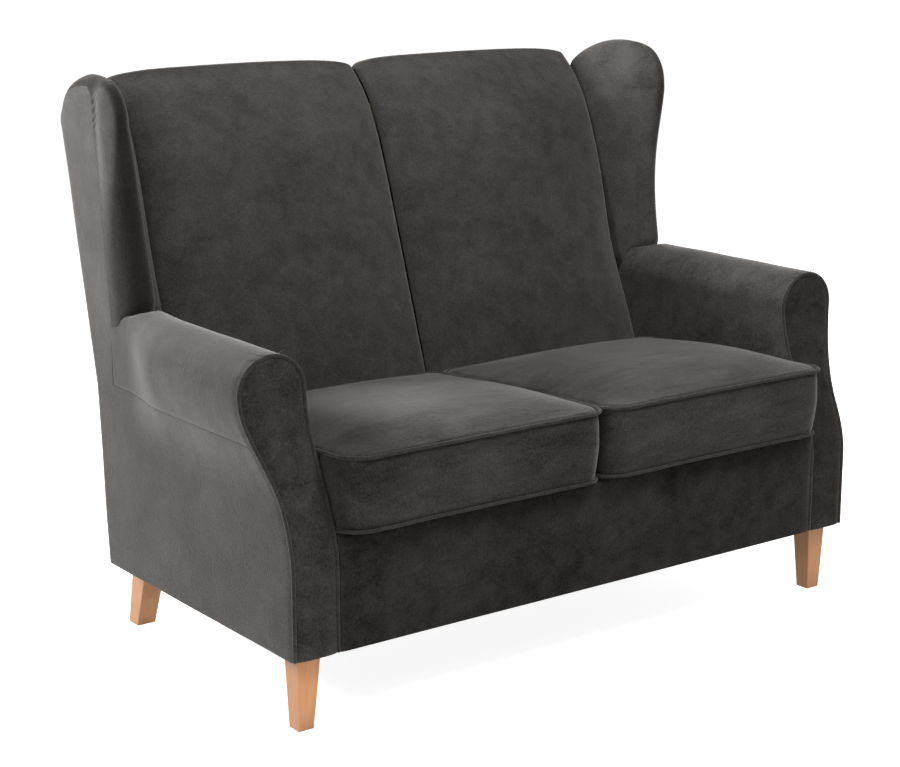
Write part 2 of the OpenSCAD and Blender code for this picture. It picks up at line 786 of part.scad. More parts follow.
// One sinuous spring: bars across, joined by a bow at alternate ends
spring_y0 = rail_front_y + rail_t / 2;
spring_y1 = spring_rail_y + rail_t / 2;
spring_z0 = front_rail_top + clip_t + gap + wire_r;
spring_z1 = spring_rail_top + clip_t + gap + wire_r;
spring_pitch = (spring_y1 - spring_y0) / spring_loops;
bow = spring_pitch / 3;
spring_path = [for (k = [0:spring_loops]) let (
    s = k % 2 == 0 ? 1 : -1,
    half = spring_w / 2 - wire_r,
    y = spring_y0 + spring_pitch * k,
    last = k == spring_loops
) each concat(
    [[-s * (half - bow), y, 0], [s * (half - bow), y, 0]],
    last ? [] : [[s * half, y + spring_pitch / 2, 0]]
)];

// Middle of each spring, spread evenly under a cushion
function spring_x(i) = inner_x * (i + 0.5) / springs_each;

module seat_springs() {
    path = [for (p = spring_path) let (t = (p[1] - spring_y0) / (spring_y1 - spring_y0))
        [p[0], p[1], mix(spring_z0, spring_z1, t)]];
    color(steel) stand() both() for (i = [0:springs_each - 1])
        translate([spring_x(i), 0, 0]) tube(path, wire_r, 4, [0, 0, 1]);
}

// A bent steel clip that closes over the spring's end bar and is nailed to the rail
module spring_clip() {
    d = wire_d + 2 * clip_t + 2 * gap;
    h = wire_d + 2 * gap;
    difference() {
        block([-clip_w / 2, -d / 2, 0], [clip_w / 2, d / 2, h + 2 * clip_t]);
        block([-clip_w, -d / 2 + clip_t, clip_t], [clip_w, d, clip_t + h]);
    }
}

module spring_clips() {
    color(steel) stand() both() for (i = [0:springs_each - 1]) {
        translate([spring_x(i), spring_y0, front_rail_top]) spring_clip();
        translate([spring_x(i), spring_y1, spring_rail_top]) mirror([0, 1, 0]) spring_clip();
    }
}

module back_webbing() {
    end_x = post_x + rail_t - gap;
    pitch = (top_rail_z - strap_low - strap_w / 2) / straps;
    color(webbing) stand() for (i = [0:straps - 1]) let (z = strap_low + pitch * i)
        along_x(back_strip(z, z + strap_w, back_frame + strap_t, back_frame), -end_x, end_x);
}

module seat_deck() {
    rear = spring_rail_y + rail_t;
    color(felt) stand() along_x([
        [rail_front_y, deck_z(rail_front_y) - deck_t], [rear, deck_z(rear) - deck_t],
        [rear, deck_z(rear)], [rail_front_y, deck_z(rail_front_y)]
    ], -inner_x + gap, inner_x - gap);
}

module dust_cover() {
    half = side_x - skin_t - gap;
    color(felt) stand() difference() {
        block([-half, front_stack, leg_h], [half, rear_y(leg_h) - skin_t - gap, base_z]);
        both() bolt_places() translate([0, 0, leg_h - 1]) cylinder(h = dust_t + 2, d = bolt_d + 1);
    }
}

// The padded cloth on the front rail, rounded over at its top edge
module front_rail_cover() {
    r = border_t - 3;
    top = deck_z(border_t) - 1;
    color(cloth) stand() along_x(concat(
        [[border_t, leg_h], [border_t, top]],
        [for (a = [90:arc_step:180]) [r + r * cos(a), top - r + r * sin(a)]],
        [[0, leg_h]]
    ), -inner_x + gap, inner_x - gap);
}

// The side panel follows the arm's flare up to the seam under the scroll, then runs
// flat up the wing
module side_panel() {
    x0 = side_x - skin_t;
    top = roll_seam_z - gap;
    intersection() {
        difference() {
            arm_form(0);
            arm_form(skin_t);
        }
        along_x(concat(
            [for (z = sweep_heights(leg_h, top)) [arm_front_y(z) + cover_front, z]],
            [[splice_y + 1, top], [splice_y + 1, leg_h]]
        ), x0, side_x + roll_out + 1);
    }
    along_x(upper_side, x0, side_x);
}

module side_panel_left() {
    color(cloth) stand() left() side_panel();
}

module side_panel_right() {
    color(cloth) stand() side_panel();
}

// The padded cloth that runs up the arm's inside, over the scroll and down to the seam
module arm_cover() {
    heights = [for (k = [6:-1:0]) mix(arm_cover_low, arm_h, k / 6)];
    difference() {
        intersection() {
            difference() {
                arm_form(0);
                arm_form(arm_pad);
            }
            along_x(concat(
                [for (z = sweep_heights(arm_cover_low, arm_h + 1)) [arm_front_y(z) + cover_front, z]],
                [for (z = heights) [seam_y(z) - gap, z + (z == arm_h ? 1 : 0)]]
            ), inner_x - 1, side_x + roll_out + 1);
        }
        block([inner_x + arm_pad, -big, 0], [big, big, roll_seam_z]);
        block([0, -big, 0], [inner_x + arm_pad + 1, rail_rear_y + gap, front_rail_top + gap]);
    }
}

module arm_cover_left() {
    color(cloth) stand() left() arm_cover();
}

module arm_cover_right() {
    color(cloth) stand() arm_cover();
}

module arm_front() {
    intersection() {
        front_slab(0, front_cloth, leg_h);
        front_prism(arm_piping_d + gap);
    }
}

module arm_front_left() {
    color(cloth) stand() left() arm_front();
}

module arm_front_right() {
    color(cloth) stand() arm_front();
}

// The piping follows the arm's outline from foot to foot over the scroll
module arm_piping() {
    r = arm_piping_d / 2;
    rise = [for (z = sweep_heights(leg_h, roll_z)) if (z < roll_z - 1) z];
    path = concat(
        [for (z = rise) [side_x + roll_out * ease((z - flare_z) / (roll_z - flare_z)) - r, z]],
        [for (a = [0:arc_step:180])
            [inner_x + roll_r + (roll_r - r) * cos(a), roll_z + (roll_r - r) * sin(a)]],
        [for (i = [len(rise) - 1:-1:0]) [inner_x + r, rise[i]]]
    );
    tube([for (p = path) [p[0], arm_front_y(p[1]) + r, p[1]]], r, 8, [0, 1, 0]);
}

module arm_piping_left() {
    color(piping) stand() left() arm_piping();
}

module arm_piping_right() {
    color(piping) stand() arm_piping();
}

// The wing's padding wraps its board, lies on the arm and stops at the side panel
module wing_cover() {
    low = wing_low_z - 10;
    difference() {
        wing_form();
        arm_form(-gap);
        along_x(wing_side(board_inset - gap, wing_low_z - 1, 0), post_x + rail_t - gap, side_x - skin_t);
        along_x(back_strip(low, top_rail_top + gap, pad_rear, 0), inner_x - 1, side_x);
        along_x(concat(seam_line(gap, low), [for (z = [lobe_z, low]) [rear_y(z), z]]),
            side_x - skin_t - gap, side_x + wing_flare_out + 10);
    }
}

module wing_cover_left() {
    color(cloth) stand() left() wing_cover();
}

module wing_cover_right() {
    color(cloth) stand() wing_cover();
}

module back_panel_left() {
    color(cloth) stand() left() back_pad();
}

module back_panel_right() {
    color(cloth) stand() back_pad();
}

module outer_back() {
    corner = [
        [side_x, leg_h], [side_x, lobe_z], [panel_edge_x, lobe_z + 20], [panel_edge_x - 20, rear_hem_z]
    ];
    color(cloth) stand() intersection() {
        along_x(back_strip(leg_h, rear_hem_z, skin_t, 0), -big, big);
        along_y(concat(corner, [for (i = [len(corner) - 1:-1:0]) [-corner[i][0], corner[i][1]]]), -big, big);
    }
}

module seat_cushion() {
    on_seat() difference() {
        cushion_form();
        core_form(gap);
    }
}

module seat_cushion_left() {
    color(cloth) stand() left() seat_cushion();
}

module seat_cushion_right() {
    color(cloth) stand() seat_cushion();
}

module cushion_core_left() {
    color(foam) stand() left() on_seat() core_form(0);
}

module cushion_core_right() {
    color(foam) stand() on_seat() core_form(0);
}

module cushion_piping() {
    on_seat() for (h = [pipe_r + gap, upper_pipe_z])
        ring_tube(cushion_ring(pipe_r + gap / 3, h), pipe_r, 5, [0, 0, 1]);
}

module cushion_piping_left() {
    color(piping) stand() left() cushion_piping();
}

module cushion_piping_right() {
    color(piping) stand() cushion_piping();
}

// A tapered square leg with a hole in its top for the bolt
module leg(top_w, top_d, foot_w, foot_d, shift) {
    difference() {
        loft([
            [for (p = [[-1, -1], [1, -1], [1, 1], [-1, 1]]) [p[0] * top_w / 2, p[1] * top_d / 2, leg_h]],
            [for (p = [[-1, -1], [1, -1], [1, 1], [-1, 1]])
                [p[0] * foot_w / 2 + shift[0], p[1] * foot_d / 2 + shift[1], 0]]
        ]);
        translate([0, 0, leg_h - bolt_in_leg]) cylinder(h = bolt_in_leg + 1, d = bolt_d + 0.2);
    }
}

module leg_front() {
    translate([leg_front_x, leg_front_y, 0]) leg(leg_top, leg_top, leg_foot, leg_foot, [foot_out, 0]);
}

module leg_rear() {
    translate([leg_rear_x, leg_rear_y, 0])
        leg(leg_top, rear_leg_top, leg_foot + rear_foot_extra, rear_leg_foot, [0, rear_splay]);
}

module leg_front_left() {
    color(beech) stand() left() leg_front();
}

module leg_front_right() {
    color(beech) stand() leg_front();
}

module leg_rear_left() {
    color(beech) stand() left() leg_rear();
}

module leg_rear_right() {
    color(beech) stand() leg_rear();
}

module leg_bolts() {
    low = leg_h - bolt_in_leg;
    color(steel) stand() both() bolt_places()
        translate([0, 0, low]) cylinder(h = base_z + block_h + nut_flange_t - low, d = bolt_d);
}

// A flanged nut sits in the top of each corner block
module leg_nuts() {
    top = base_z + block_h;
    color(steel) stand() both() bolt_places() difference() {
        union() {
            translate([0, 0, top - nut_h]) cylinder(h = nut_h, d = bolt_d + 2.4);
            translate([0, 0, top]) cylinder(h = nut_flange_t, d = nut_flange_d);
        }
        translate([0, 0, top - nut_h - 1]) cylinder(h = nut_h + 4, d = bolt_d + 0.1);
    }
}

front_rail();
rear_rail();
side_rail_left();
side_rail_right();
seat_centre_rail();
rear_spring_rail();
corner_blocks();
arm_board_left();
arm_board_right();
arm_front_board_left();
arm_front_board_right();
arm_top_rail_left();
arm_top_rail_right();
back_post_left();
back_post_right();
back_centre_post();
back_top_rail();
wing_board_left();
wing_board_right();
seat_springs();
spring_clips();
back_webbing();
seat_deck();
dust_cover();
front_rail_cover();
side_panel_left();
side_panel_right();
arm_cover_left();
arm_cover_right();
arm_front_left();
arm_front_right();
arm_piping_left();
arm_piping_right();
wing_cover_left();
wing_cover_right();
back_panel_left();
back_panel_right();
outer_back();
seat_cushion_left();
seat_cushion_right();
cushion_core_left();
cushion_core_right();
cushion_piping_left();
cushion_piping_right();
leg_front_left();
leg_front_right();
leg_rear_left();
leg_rear_right();
leg_bolts();
leg_nuts();
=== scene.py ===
import json
import math

import bmesh
import bpy
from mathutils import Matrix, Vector, kdtree, noise


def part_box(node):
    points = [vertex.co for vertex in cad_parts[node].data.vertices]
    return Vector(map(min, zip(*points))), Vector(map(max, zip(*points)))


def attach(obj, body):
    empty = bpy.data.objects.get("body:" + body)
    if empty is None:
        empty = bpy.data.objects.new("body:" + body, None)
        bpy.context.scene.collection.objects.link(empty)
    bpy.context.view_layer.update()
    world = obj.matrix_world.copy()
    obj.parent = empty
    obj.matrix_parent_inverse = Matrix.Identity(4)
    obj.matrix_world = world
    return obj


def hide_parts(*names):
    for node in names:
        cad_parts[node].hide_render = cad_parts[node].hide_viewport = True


# A two-seater wing-back sofa in dark velour: padded and sewn pieces round the CAD frame.
# Sizes are metres. A depth is measured backwards from the front face of the body.

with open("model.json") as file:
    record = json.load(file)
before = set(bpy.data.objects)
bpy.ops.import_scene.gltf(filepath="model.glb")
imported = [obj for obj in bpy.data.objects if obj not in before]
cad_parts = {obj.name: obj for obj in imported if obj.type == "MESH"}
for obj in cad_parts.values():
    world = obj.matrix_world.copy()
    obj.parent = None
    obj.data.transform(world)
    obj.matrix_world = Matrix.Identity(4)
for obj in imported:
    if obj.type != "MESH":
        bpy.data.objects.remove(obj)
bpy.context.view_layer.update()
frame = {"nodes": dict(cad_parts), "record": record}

# Sizes that the frame gives
arm_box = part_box("arm_cover_right")
side_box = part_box("side_panel_right")
back_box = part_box("back_panel_right")
front_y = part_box("arm_front_right")[0].y
base_z = side_box[0].z
inner_x = arm_box[0].x
side_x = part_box("outer_back")[1].x
roll_out = arm_box[1].x - side_x
arm_h = arm_box[1].z
roll_r = (arm_box[1].x - inner_x) / 2
roll_z = arm_h - roll_r
back_top = back_box[1].y - front_y
hem_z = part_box("outer_back")[1].z

# Sizes of the forms
ARM_SWEEP = 0.093
SWEEP_Z = 0.285
FLARE_Z = 0.388
ROLL_SEAM_Z = 0.492
FADE = 0.390
CREASE_BACK = 0.027
ROLL_SQUARE = 0.50
ARM_COVER_LOW = 0.300
BACK_H = 1.031
KNEE_Z = 0.480
FOOT_DEPTH = 0.655
KNEE_OUT = 0.022
BACK_RAKE = 0.119
SEAT_DEPTH = 0.521
SEAM_FOOT_Z = 0.433
SEAM_RISE = 0.600
SEAM_LEAN = 0.205
SEAM_FOOT_LEAN = 0.140
SEAM_BEND = 0.055
SEAM_BEND_POWER = 10
GROOVE_DEEP = 0.015
GROOVE_Z = 0.64
GROOVE_LONG = 0.12
BACK_CROWN = 0.038
TOP_CROWN = 0.019
LOW_CROWN = 0.008
PAD_LOW = back_box[0].z
WING_FOOT = 0.530
WING_FRONT = 0.550
WING_WAIST = 0.015
WING_LOW = 0.600
WING_IN = 0.577
WING_OUT = 0.6508
WING_NOSE = 0.060
WING_FOOT_SET = 0.004
FLARE_IN = 0.037
FLARE_OUT = 0.014
LOBE_Z = 0.965
LOBE_B = 0.088
LOBE_SET = 0.001
WING_SEAM = 0.610
WING_SEAM_LEAN = 0.038
WING_SEAM_DROP = 0.020
SEAM_TOP_DROP = 0.010
SKIN = 0.005
PAD_WALL = 0.006
PANEL_WALL = 0.0045
WING_WALL = 0.004
GAP = 0.0003
ARM_PIPE = 0.007
CUSHION_PIPE = 0.0064
CORD_SIDES = 5
MERGE = 0.0001
CLOSE = 0.00001
PUCKERS = 400

crease = WING_FOOT + CREASE_BACK
wing_h = LOBE_Z + LOBE_B
panel_edge = inner_x - GAP


def ease(t):
    """0 to 1 with soft ends."""
    t = min(1.0, max(0.0, t))
    return t * t * (3 - 2 * t)


def mix(a, b, t):
    """The value at a share of the way from a to b."""
    return a + (b - a) * t


def near(distance, reach):
    """1 at a line and fading to 0 away from it."""
    return math.exp(-((distance / reach) ** 2))


def rough(point, size, seed):
    """Smooth noise from -1 to 1 with features of that size."""
    return noise.noise(Vector(point) / size + Vector((seed * 7.3, seed * 3.1, seed * 5.7)))


def back_face(z):
    """Depth of the back's outer face at a height."""
    if z < KNEE_Z:
        return FOOT_DEPTH + KNEE_OUT * (z - base_z) / (KNEE_Z - base_z)
    return FOOT_DEPTH + KNEE_OUT + BACK_RAKE * (z - KNEE_Z) / (BACK_H - KNEE_Z)


def seam_depth(z):
    """Depth of the back panels' seams at a height: they lean and then roll over the top."""
    t = (z - SEAM_FOOT_Z) / SEAM_RISE
    lean = SEAM_LEAN * max(t, 0) + SEAM_FOOT_LEAN * min(t, 0)
    return SEAT_DEPTH + lean + SEAM_BEND * max(t, 0) ** SEAM_BEND_POWER


def seam_slope(z):
    """How much deeper those seams get per metre of height."""
    t = (z - SEAM_FOOT_Z) / SEAM_RISE
    bend = SEAM_BEND * SEAM_BEND_POWER * max(t, 0) ** (SEAM_BEND_POWER - 1)
    return ((SEAM_LEAN if t > 0 else SEAM_FOOT_LEAN) + bend) / SEAM_RISE


def groove(z):
    """How much deeper a back panel's seam lies beside the wing, most just above the arm."""
    return GROOVE_DEEP * near(z - GROOVE_Z, GROOVE_LONG)


def arm_front(z):
    """Depth of an arm's swept front edge at a height."""
    return ARM_SWEEP * ease((z - SWEEP_Z) / (roll_z - SWEEP_Z))


def roll_reach(depth):
    """Outer reach of the scroll, which fades into the side towards the wing."""
    return side_x + roll_out * (1 - ease((depth - FADE) / (crease - FADE)))


def scroll_full(depth):
    """The scroll's outer half is round at the front and squarer under the wing."""
    return mix(1.0, ROLL_SQUARE, ease((depth - FADE) / (crease - FADE)))


def wing_foot_at(x):
    """Depth of the wing's rounded foot where it stands on the arm."""
    t = (x - (WING_IN + WING_OUT) / 2) / (WING_OUT - WING_IN) * 2
    return WING_FOOT + WING_FOOT_SET + WING_NOSE * (1 - math.sqrt(max(0.0, 1 - t * t)))


lobe_depth = (WING_FRONT + back_face(LOBE_Z)) / 2 + LOBE_SET
lobe_rear = back_face(LOBE_Z) - SKIN - GAP - lobe_depth
lobe_front = lobe_depth - WING_FRONT
lobe_seam = lobe_depth - WING_SEAM - WING_SEAM_LEAN
seam_top_z = LOBE_Z - SEAM_TOP_DROP


def at(x, depth, z):
    """A point of the frame: across, behind the front face, and up."""
    return Vector((x, front_y + depth, z))


def object_of(name, bm, finish, body="frame"):
    """Makes a piece from a bmesh: smooth, in its material, and riding on a body."""
    mesh = bpy.data.meshes.new(name)
    bm.to_mesh(mesh)
    bm.free()
    mesh.shade_smooth()
    piece = bpy.data.objects.new(name, mesh)
    bpy.context.scene.collection.objects.link(piece)
    mesh.materials.append(finish)
    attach(piece, body)
    return piece


def bent_grid(columns, rows, place, core, relief=None):
    """A grid bent into shape: place says where the share (u, v) of it goes, core is a point
    behind it, and relief says how far the cloth stands out there."""
    bm = bmesh.new()
    across = bm.verts.layers.float.new("across")
    along = bm.verts.layers.float.new("along")
    bmesh.ops.create_grid(bm, x_segments=columns, y_segments=rows, size=0.5)
    for vert in bm.verts:
        u, v = vert.co.x + 0.5, vert.co.y + 0.5
        vert[across], vert[along] = u, v
        vert.co = place(u, v)
    bmesh.ops.remove_doubles(bm, verts=bm.verts, dist=MERGE)
    bm.normal_update()
    if sum((vert.co - core).dot(vert.normal) for vert in bm.verts) < 0:
        bmesh.ops.reverse_faces(bm, faces=bm.faces)
        bm.normal_update()
    if relief:
        normals = [vert.normal.copy() for vert in bm.verts]
        for vert, normal in zip(bm.verts, normals):
            vert.co += normal * relief(vert[across], vert[along], vert.co)
    return bm


def turned_edge(piece, thickness, radius):
    """Gives a shell its thickness and rounds the cloth over at its rim."""
    wall = piece.modifiers.new("thickness", "SOLIDIFY")
    wall.thickness = thickness
    wall.offset = -1
    rim = piece.modifiers.new("rim", "BEVEL")
    rim.width = radius
    rim.segments = 3
    rim.limit_method = "ANGLE"
    rim.angle_limit = math.radians(50)
    rim.use_clamp_overlap = False
    return piece


def cord_round(name, points, radius, closed, body):
    """A piping cord along points, made a mesh."""
    curve = bpy.data.curves.new(name, "CURVE")
    curve.dimensions = "3D"
    curve.bevel_depth = radius
    curve.bevel_resolution = CORD_SIDES
    curve.use_fill_caps = not closed
    spline = curve.splines.new("POLY")
    spline.points.add(len(points) - 1)
    for point, place in zip(spline.points, points):
        point.co = (*place, 1)
    spline.use_cyclic_u = closed
    draft = bpy.data.objects.new(name + "_draft", curve)
    bpy.context.scene.collection.objects.link(draft)
    bm = bmesh.new()
    bm.from_mesh(draft.to_mesh())
    bpy.data.objects.remove(draft)
    bmesh.ops.remove_doubles(bm, verts=bm.verts, dist=CLOSE)
    bmesh.ops.recalc_face_normals(bm, faces=bm.faces)
    return object_of(name, bm, bias, body)


# Materials


class Value:
    """A number that varies over a surface. Arithmetic on it adds Math nodes."""

    def __init__(self, nodes, socket):
        self.nodes = nodes
        self.socket = socket

    def math(self, operation, a, b):
        return self.nodes.node("ShaderNodeMath", {"operation": operation}, {0: a, 1: b})

    def __add__(self, other):
        return self.math("ADD", self, other)

    __radd__ = __add__

    def __sub__(self, other):
        return self.math("SUBTRACT", self, other)

    def __rsub__(self, other):
        return self.math("SUBTRACT", other, self)

    def __mul__(self, other):
        return self.math("MULTIPLY", self, other)

    __rmul__ = __mul__


class Nodes:
    """The nodes of a material or of the world."""

    def __init__(self, owner):
        owner.use_nodes = True
        self.tree = owner.node_tree
        self.tree.nodes.clear()

    def node(self, kind, settings, sockets, output=0):
        """Adds a node: its settings first, then the values or links of its sockets."""
        made = self.tree.nodes.new(kind)
        for key, value in settings.items():
            setattr(made, key, value)
        for key, value in sockets.items():
            if isinstance(value, Value):
                self.tree.links.new(value.socket, made.inputs[key])
            else:
                made.inputs[key].default_value = value
        return Value(self, made.outputs[output]) if made.outputs else None

    def seen(self):
        """1 for the rays that see the white behind the sofa: the camera's, mirrored and clear."""
        camera, glossy, clear = (self.node("ShaderNodeLightPath", {}, {}, f"Is {kind} Ray")
                                 for kind in ("Camera", "Glossy", "Transmission"))
        return camera.math("MAXIMUM", camera.math("MAXIMUM", camera, glossy), clear)


class Paint(Nodes):
    """A material that is painted in its piece's own coordinates."""

    def __init__(self, name):
        self.material = bpy.data.materials.new(name)
        super().__init__(self.material)
        self.place = self.node("ShaderNodeTexCoord", {}, {}, "Object")

    def noise(self, scale, detail=3, roughness=0.5, distortion=0.0, place=None):
        """Soft blotches, finer with a larger scale."""
        return self.node("ShaderNodeTexNoise", {}, {
            "Vector": place or self.place, "Scale": scale, "Detail": detail,
            "Roughness": roughness, "Distortion": distortion,
        })

    def stretched(self, scale):
        """The place with each axis scaled."""
        return self.node("ShaderNodeMapping", {}, {"Vector": self.place, "Scale": scale})

    def between(self, share, low, high):
        """A colour between two, by a share."""
        ends = [end if isinstance(end, Value) else (*end, 1) for end in (low, high)]
        return self.node("ShaderNodeMix", {"data_type": "RGBA"}, {0: share, 6: ends[0], 7: ends[1]}, 2)

    def along(self, axis, start, end):
        """A share that rises from 0 to 1 between two places on an axis."""
        place = self.node("ShaderNodeSeparateXYZ", {}, {0: self.place}, axis)
        return self.node("ShaderNodeMapRange", {"interpolation_type": "SMOOTHSTEP"}, {
            "Value": place, "From Min": start, "From Max": end,
        })

    def surface(self, colour, height, lift, fixed):
        """The finished surface: its colour, a bump of that height, and constant settings."""
        bump = self.node("ShaderNodeBump", {}, {"Height": height, "Strength": 1.0, "Distance": lift})
        shader = self.node("ShaderNodeBsdfPrincipled", {}, {"Base Color": colour, "Normal": bump, **fixed})
        self.node("ShaderNodeOutputMaterial", {}, {"Surface": shader})
        return self.material


def velour(name, tone, sheen=0.45, streak=(26, 26, 26), painted_light_and_shade=None):
    """A short, brushed pile in tones from a dark to a light one: cloudy where hands have brushed its pile
    the other way, and finely mottled. Along an axis it can blend into other tones that paint light and
    shade: lighter higher up a side, darker round a wing's nose."""
    paint = Paint(name)
    cloud = paint.noise(5.0, 4, 0.55, 0.6)
    brushed = paint.noise(1.0, 4, 0.65, 0.4, paint.stretched(streak))
    pile = paint.noise(300, 2, 0.6)
    grain = paint.noise(1100, 1)
    share = cloud + brushed * 1.3 + pile * 1.3 + grain * 0.5 - 1.55
    colour = paint.between(share, *tone)
    # Painted light and shade: along an axis the colour blends into another pair of tones
    if painted_light_and_shade:
        axis, start, end, other = painted_light_and_shade
        colour = paint.between(paint.along(axis, start, end), colour, paint.between(share, *other))
    height = pile * 0.7 + grain * 0.3 + brushed * 0.8
    return paint.surface(colour, height, 0.0011, {
        "Roughness": 0.92,
        "Specular IOR Level": 0.04,
        "Sheen Weight": sheen,
        "Sheen Roughness": 0.36,
        "Sheen Tint": (0.95, 0.90, 0.86, 1),
    })


def wood(name, low, high, stretch, lacquer):
    """Straight-grained wood with fine flecks."""
    paint = Paint(name)
    grain = paint.noise(1.0, 5, 0.6, 0.4, paint.stretched(stretch))
    fleck = paint.noise(1.0, 2, 0.5, 0, paint.stretched([s * 3.1 for s in stretch]))
    colour = paint.between(grain * 0.9 + fleck * 0.6 - 0.25, low, high)
    return paint.surface(colour, grain + fleck, 0.0002, {
        "Roughness": lacquer, "Specular IOR Level": 0.4,
    })


def woven(name, low, high, size, rough_value):
    """Coarse threads that cross, for webbing and felt."""
    paint = Paint(name)
    thread = paint.noise(1.0, 2, 0.5, 0, paint.stretched((size, size, size * 4)))
    cross = paint.noise(1.0, 2, 0.5, 0, paint.stretched((size * 4, size, size)))
    colour = paint.between(thread * 0.8 + cross * 0.8 - 0.3, low, high)
    return paint.surface(colour, thread + cross, 0.0008, {"Roughness": rough_value})


def metal(name, low, high):
    """Drawn steel with a faint grain."""
    paint = Paint(name)
    drawn = paint.noise(900, 3, 0.6)
    colour = paint.between(drawn, low, high)
    return paint.surface(colour, drawn, 0.00005, {"Roughness": 0.34, "Metallic": 1.0})


# Darkest and lightest tone of the pile on each piece; some are lit and shaded copies of the cloth that
# paint light and shade
PLAIN = ((0.034, 0.031, 0.030), (0.082, 0.076, 0.073))
SIDE = ((0.033, 0.032, 0.031), (0.068, 0.065, 0.063))
# Painted light: the upper side is lighter
HIGH_PAINTED_LIGHT = ((0.052, 0.050, 0.049), (0.100, 0.096, 0.094))
# Painted light: the left wing's outer face is as light as the upper side
WING_SIDE_PAINTED_LIGHT = ((0.048, 0.046, 0.045), (0.092, 0.089, 0.087))
BRUSHED = ((0.034, 0.031, 0.030), (0.117, 0.108, 0.104))
SEAT = ((0.020, 0.018, 0.018), (0.086, 0.080, 0.077))
# Painted shade round the left wing's nose and on its inner face
NOSE_PAINTED_SHADE = ((0.014, 0.013, 0.012), (0.034, 0.032, 0.030))
# Painted shade on the right arm's front, the rail and round the right wing's front edge
FRONT_PAINTED_SHADE = ((0.010, 0.009, 0.008), (0.056, 0.052, 0.049))
# Painted light: a lighter copy of that for the left arm's front
FACING_PAINTED_LIGHT = ((0.022, 0.020, 0.019), (0.082, 0.077, 0.073))
# Painted light on the right wing's inner face
WING_FACE_PAINTED_LIGHT = ((0.048, 0.044, 0.043), (0.110, 0.102, 0.098))
cloth = velour("velour", PLAIN)
seat_cloth = velour("velour_seat", SEAT, 0.50, (9, 26, 26))
# Painted light: the side cloth turns lighter higher up
side_cloth_lit_higher = velour("velour_side_painted_light", SIDE, 0.42, (18, 18, 18), ("Z", 0.46, 0.74, HIGH_PAINTED_LIGHT))
brushed_cloth = velour("velour_brushed", BRUSHED)
# Painted light and shade on the wings: light on their lit faces, shade round their noses
left_wing_cloth_lit_and_shaded = velour("velour_left_wing_painted_light_and_shade", WING_SIDE_PAINTED_LIGHT, 0.36, painted_light_and_shade=("X", -0.656, -0.648, NOSE_PAINTED_SHADE))
right_wing_cloth_lit_and_shaded = velour("velour_right_wing_painted_light_and_shade", WING_FACE_PAINTED_LIGHT, 0.42, painted_light_and_shade=("X", 0.596, 0.650, FRONT_PAINTED_SHADE))
# Painted shade on the front faces, and a lighter painted light copy for the left arm's front
front_cloth_shaded = velour("velour_front_painted_shade", FRONT_PAINTED_SHADE, 0.28)
facing_cloth_lit = velour("velour_facing_painted_light", FACING_PAINTED_LIGHT, 0.34)
bias = velour("piping_velour", ((0.030, 0.028, 0.027), (0.074, 0.070, 0.067)), 0.40, (60, 60, 60))
beech = wood("beech", (0.30, 0.125, 0.048), (0.45, 0.225, 0.098), (90, 90, 7), 0.42)
timber = wood("timber", (0.48, 0.36, 0.22), (0.66, 0.52, 0.35), (14, 120, 120), 0.7)
plywood = wood("plywood", (0.55, 0.42, 0.27), (0.74, 0.60, 0.42), (60, 60, 9), 0.7)
steel = metal("steel", (0.40, 0.40, 0.41), (0.55, 0.55, 0.56))
felt = woven("felt", (0.02, 0.02, 0.022), (0.05, 0.05, 0.055), 240, 0.95)
webbing = woven("webbing", (0.34, 0.26, 0.16), (0.54, 0.44, 0.30), 190, 0.9)
foam = woven("foam", (0.66, 0.58, 0.38), (0.84, 0.76, 0.54), 300, 0.9)

# What each material slot of the frame's own pieces is made of
FINISHES = {
    "timber": timber, "plywood": plywood, "steel": steel, "felt": felt, "webbing": webbing,
    "foam": foam, "beech": beech, "cloth": cloth, "piping": bias,
}
for part in frame["record"]["subparts"]:
    node = frame["nodes"][part["node"]]
    node.data.materials.clear()
    node.data.materials.append(FINISHES[part["material_slot"]])


# Arms

# How far their cloth dips, swells and gathers, and how wide each of these is
PIPE_TUCK = 0.0005
PIPE_DIP = 0.0022
PIPE_DIP_WIDTH = 0.007
ARM_SEAM_DIP = 0.0005
ARM_SEAM_WIDTH = 0.004
ARM_BELLY = 0.0025
ARM_UNEVEN = 0.0009
BEHIND_SEAM = 0.006
CREASE_DIP = 0.0060
CREASE_WIDTH = 0.006
GATHER_LIFT = 0.0030
GATHER_REACH = 0.060
GATHER_SIZE = 0.034
FACING_TUCK = 0.0008
FACING_BACK = 0.0035
FACING_PUFF = 0.0042
FACING_ROUND = 0.022
FACING_FULL = 2.2
FACING_UNEVEN = 0.0007
arm_wall = roll_z - ARM_COVER_LOW
arm_turn = math.pi * roll_r
arm_fall = roll_z - ROLL_SEAM_Z
arm_girth = arm_wall + arm_turn + arm_fall


def flare_x(z, out):
    """Outer face of the side at a height, flaring up to the scroll's outer reach."""
    return side_x + (out - side_x) * ease((z - FLARE_Z) / (roll_z - FLARE_Z))


def arm_height(v):
    """Height and turn at a share of the way up the arm's inside, over the scroll and down."""
    s = v * arm_girth
    if s < arm_wall:
        return ARM_COVER_LOW + s, None
    if s < arm_wall + arm_turn:
        a = math.pi * (1 - (s - arm_wall) / arm_turn)
        return roll_z + roll_r * math.sin(a), math.cos(a)
    return roll_z - (s - arm_wall - arm_turn), 2


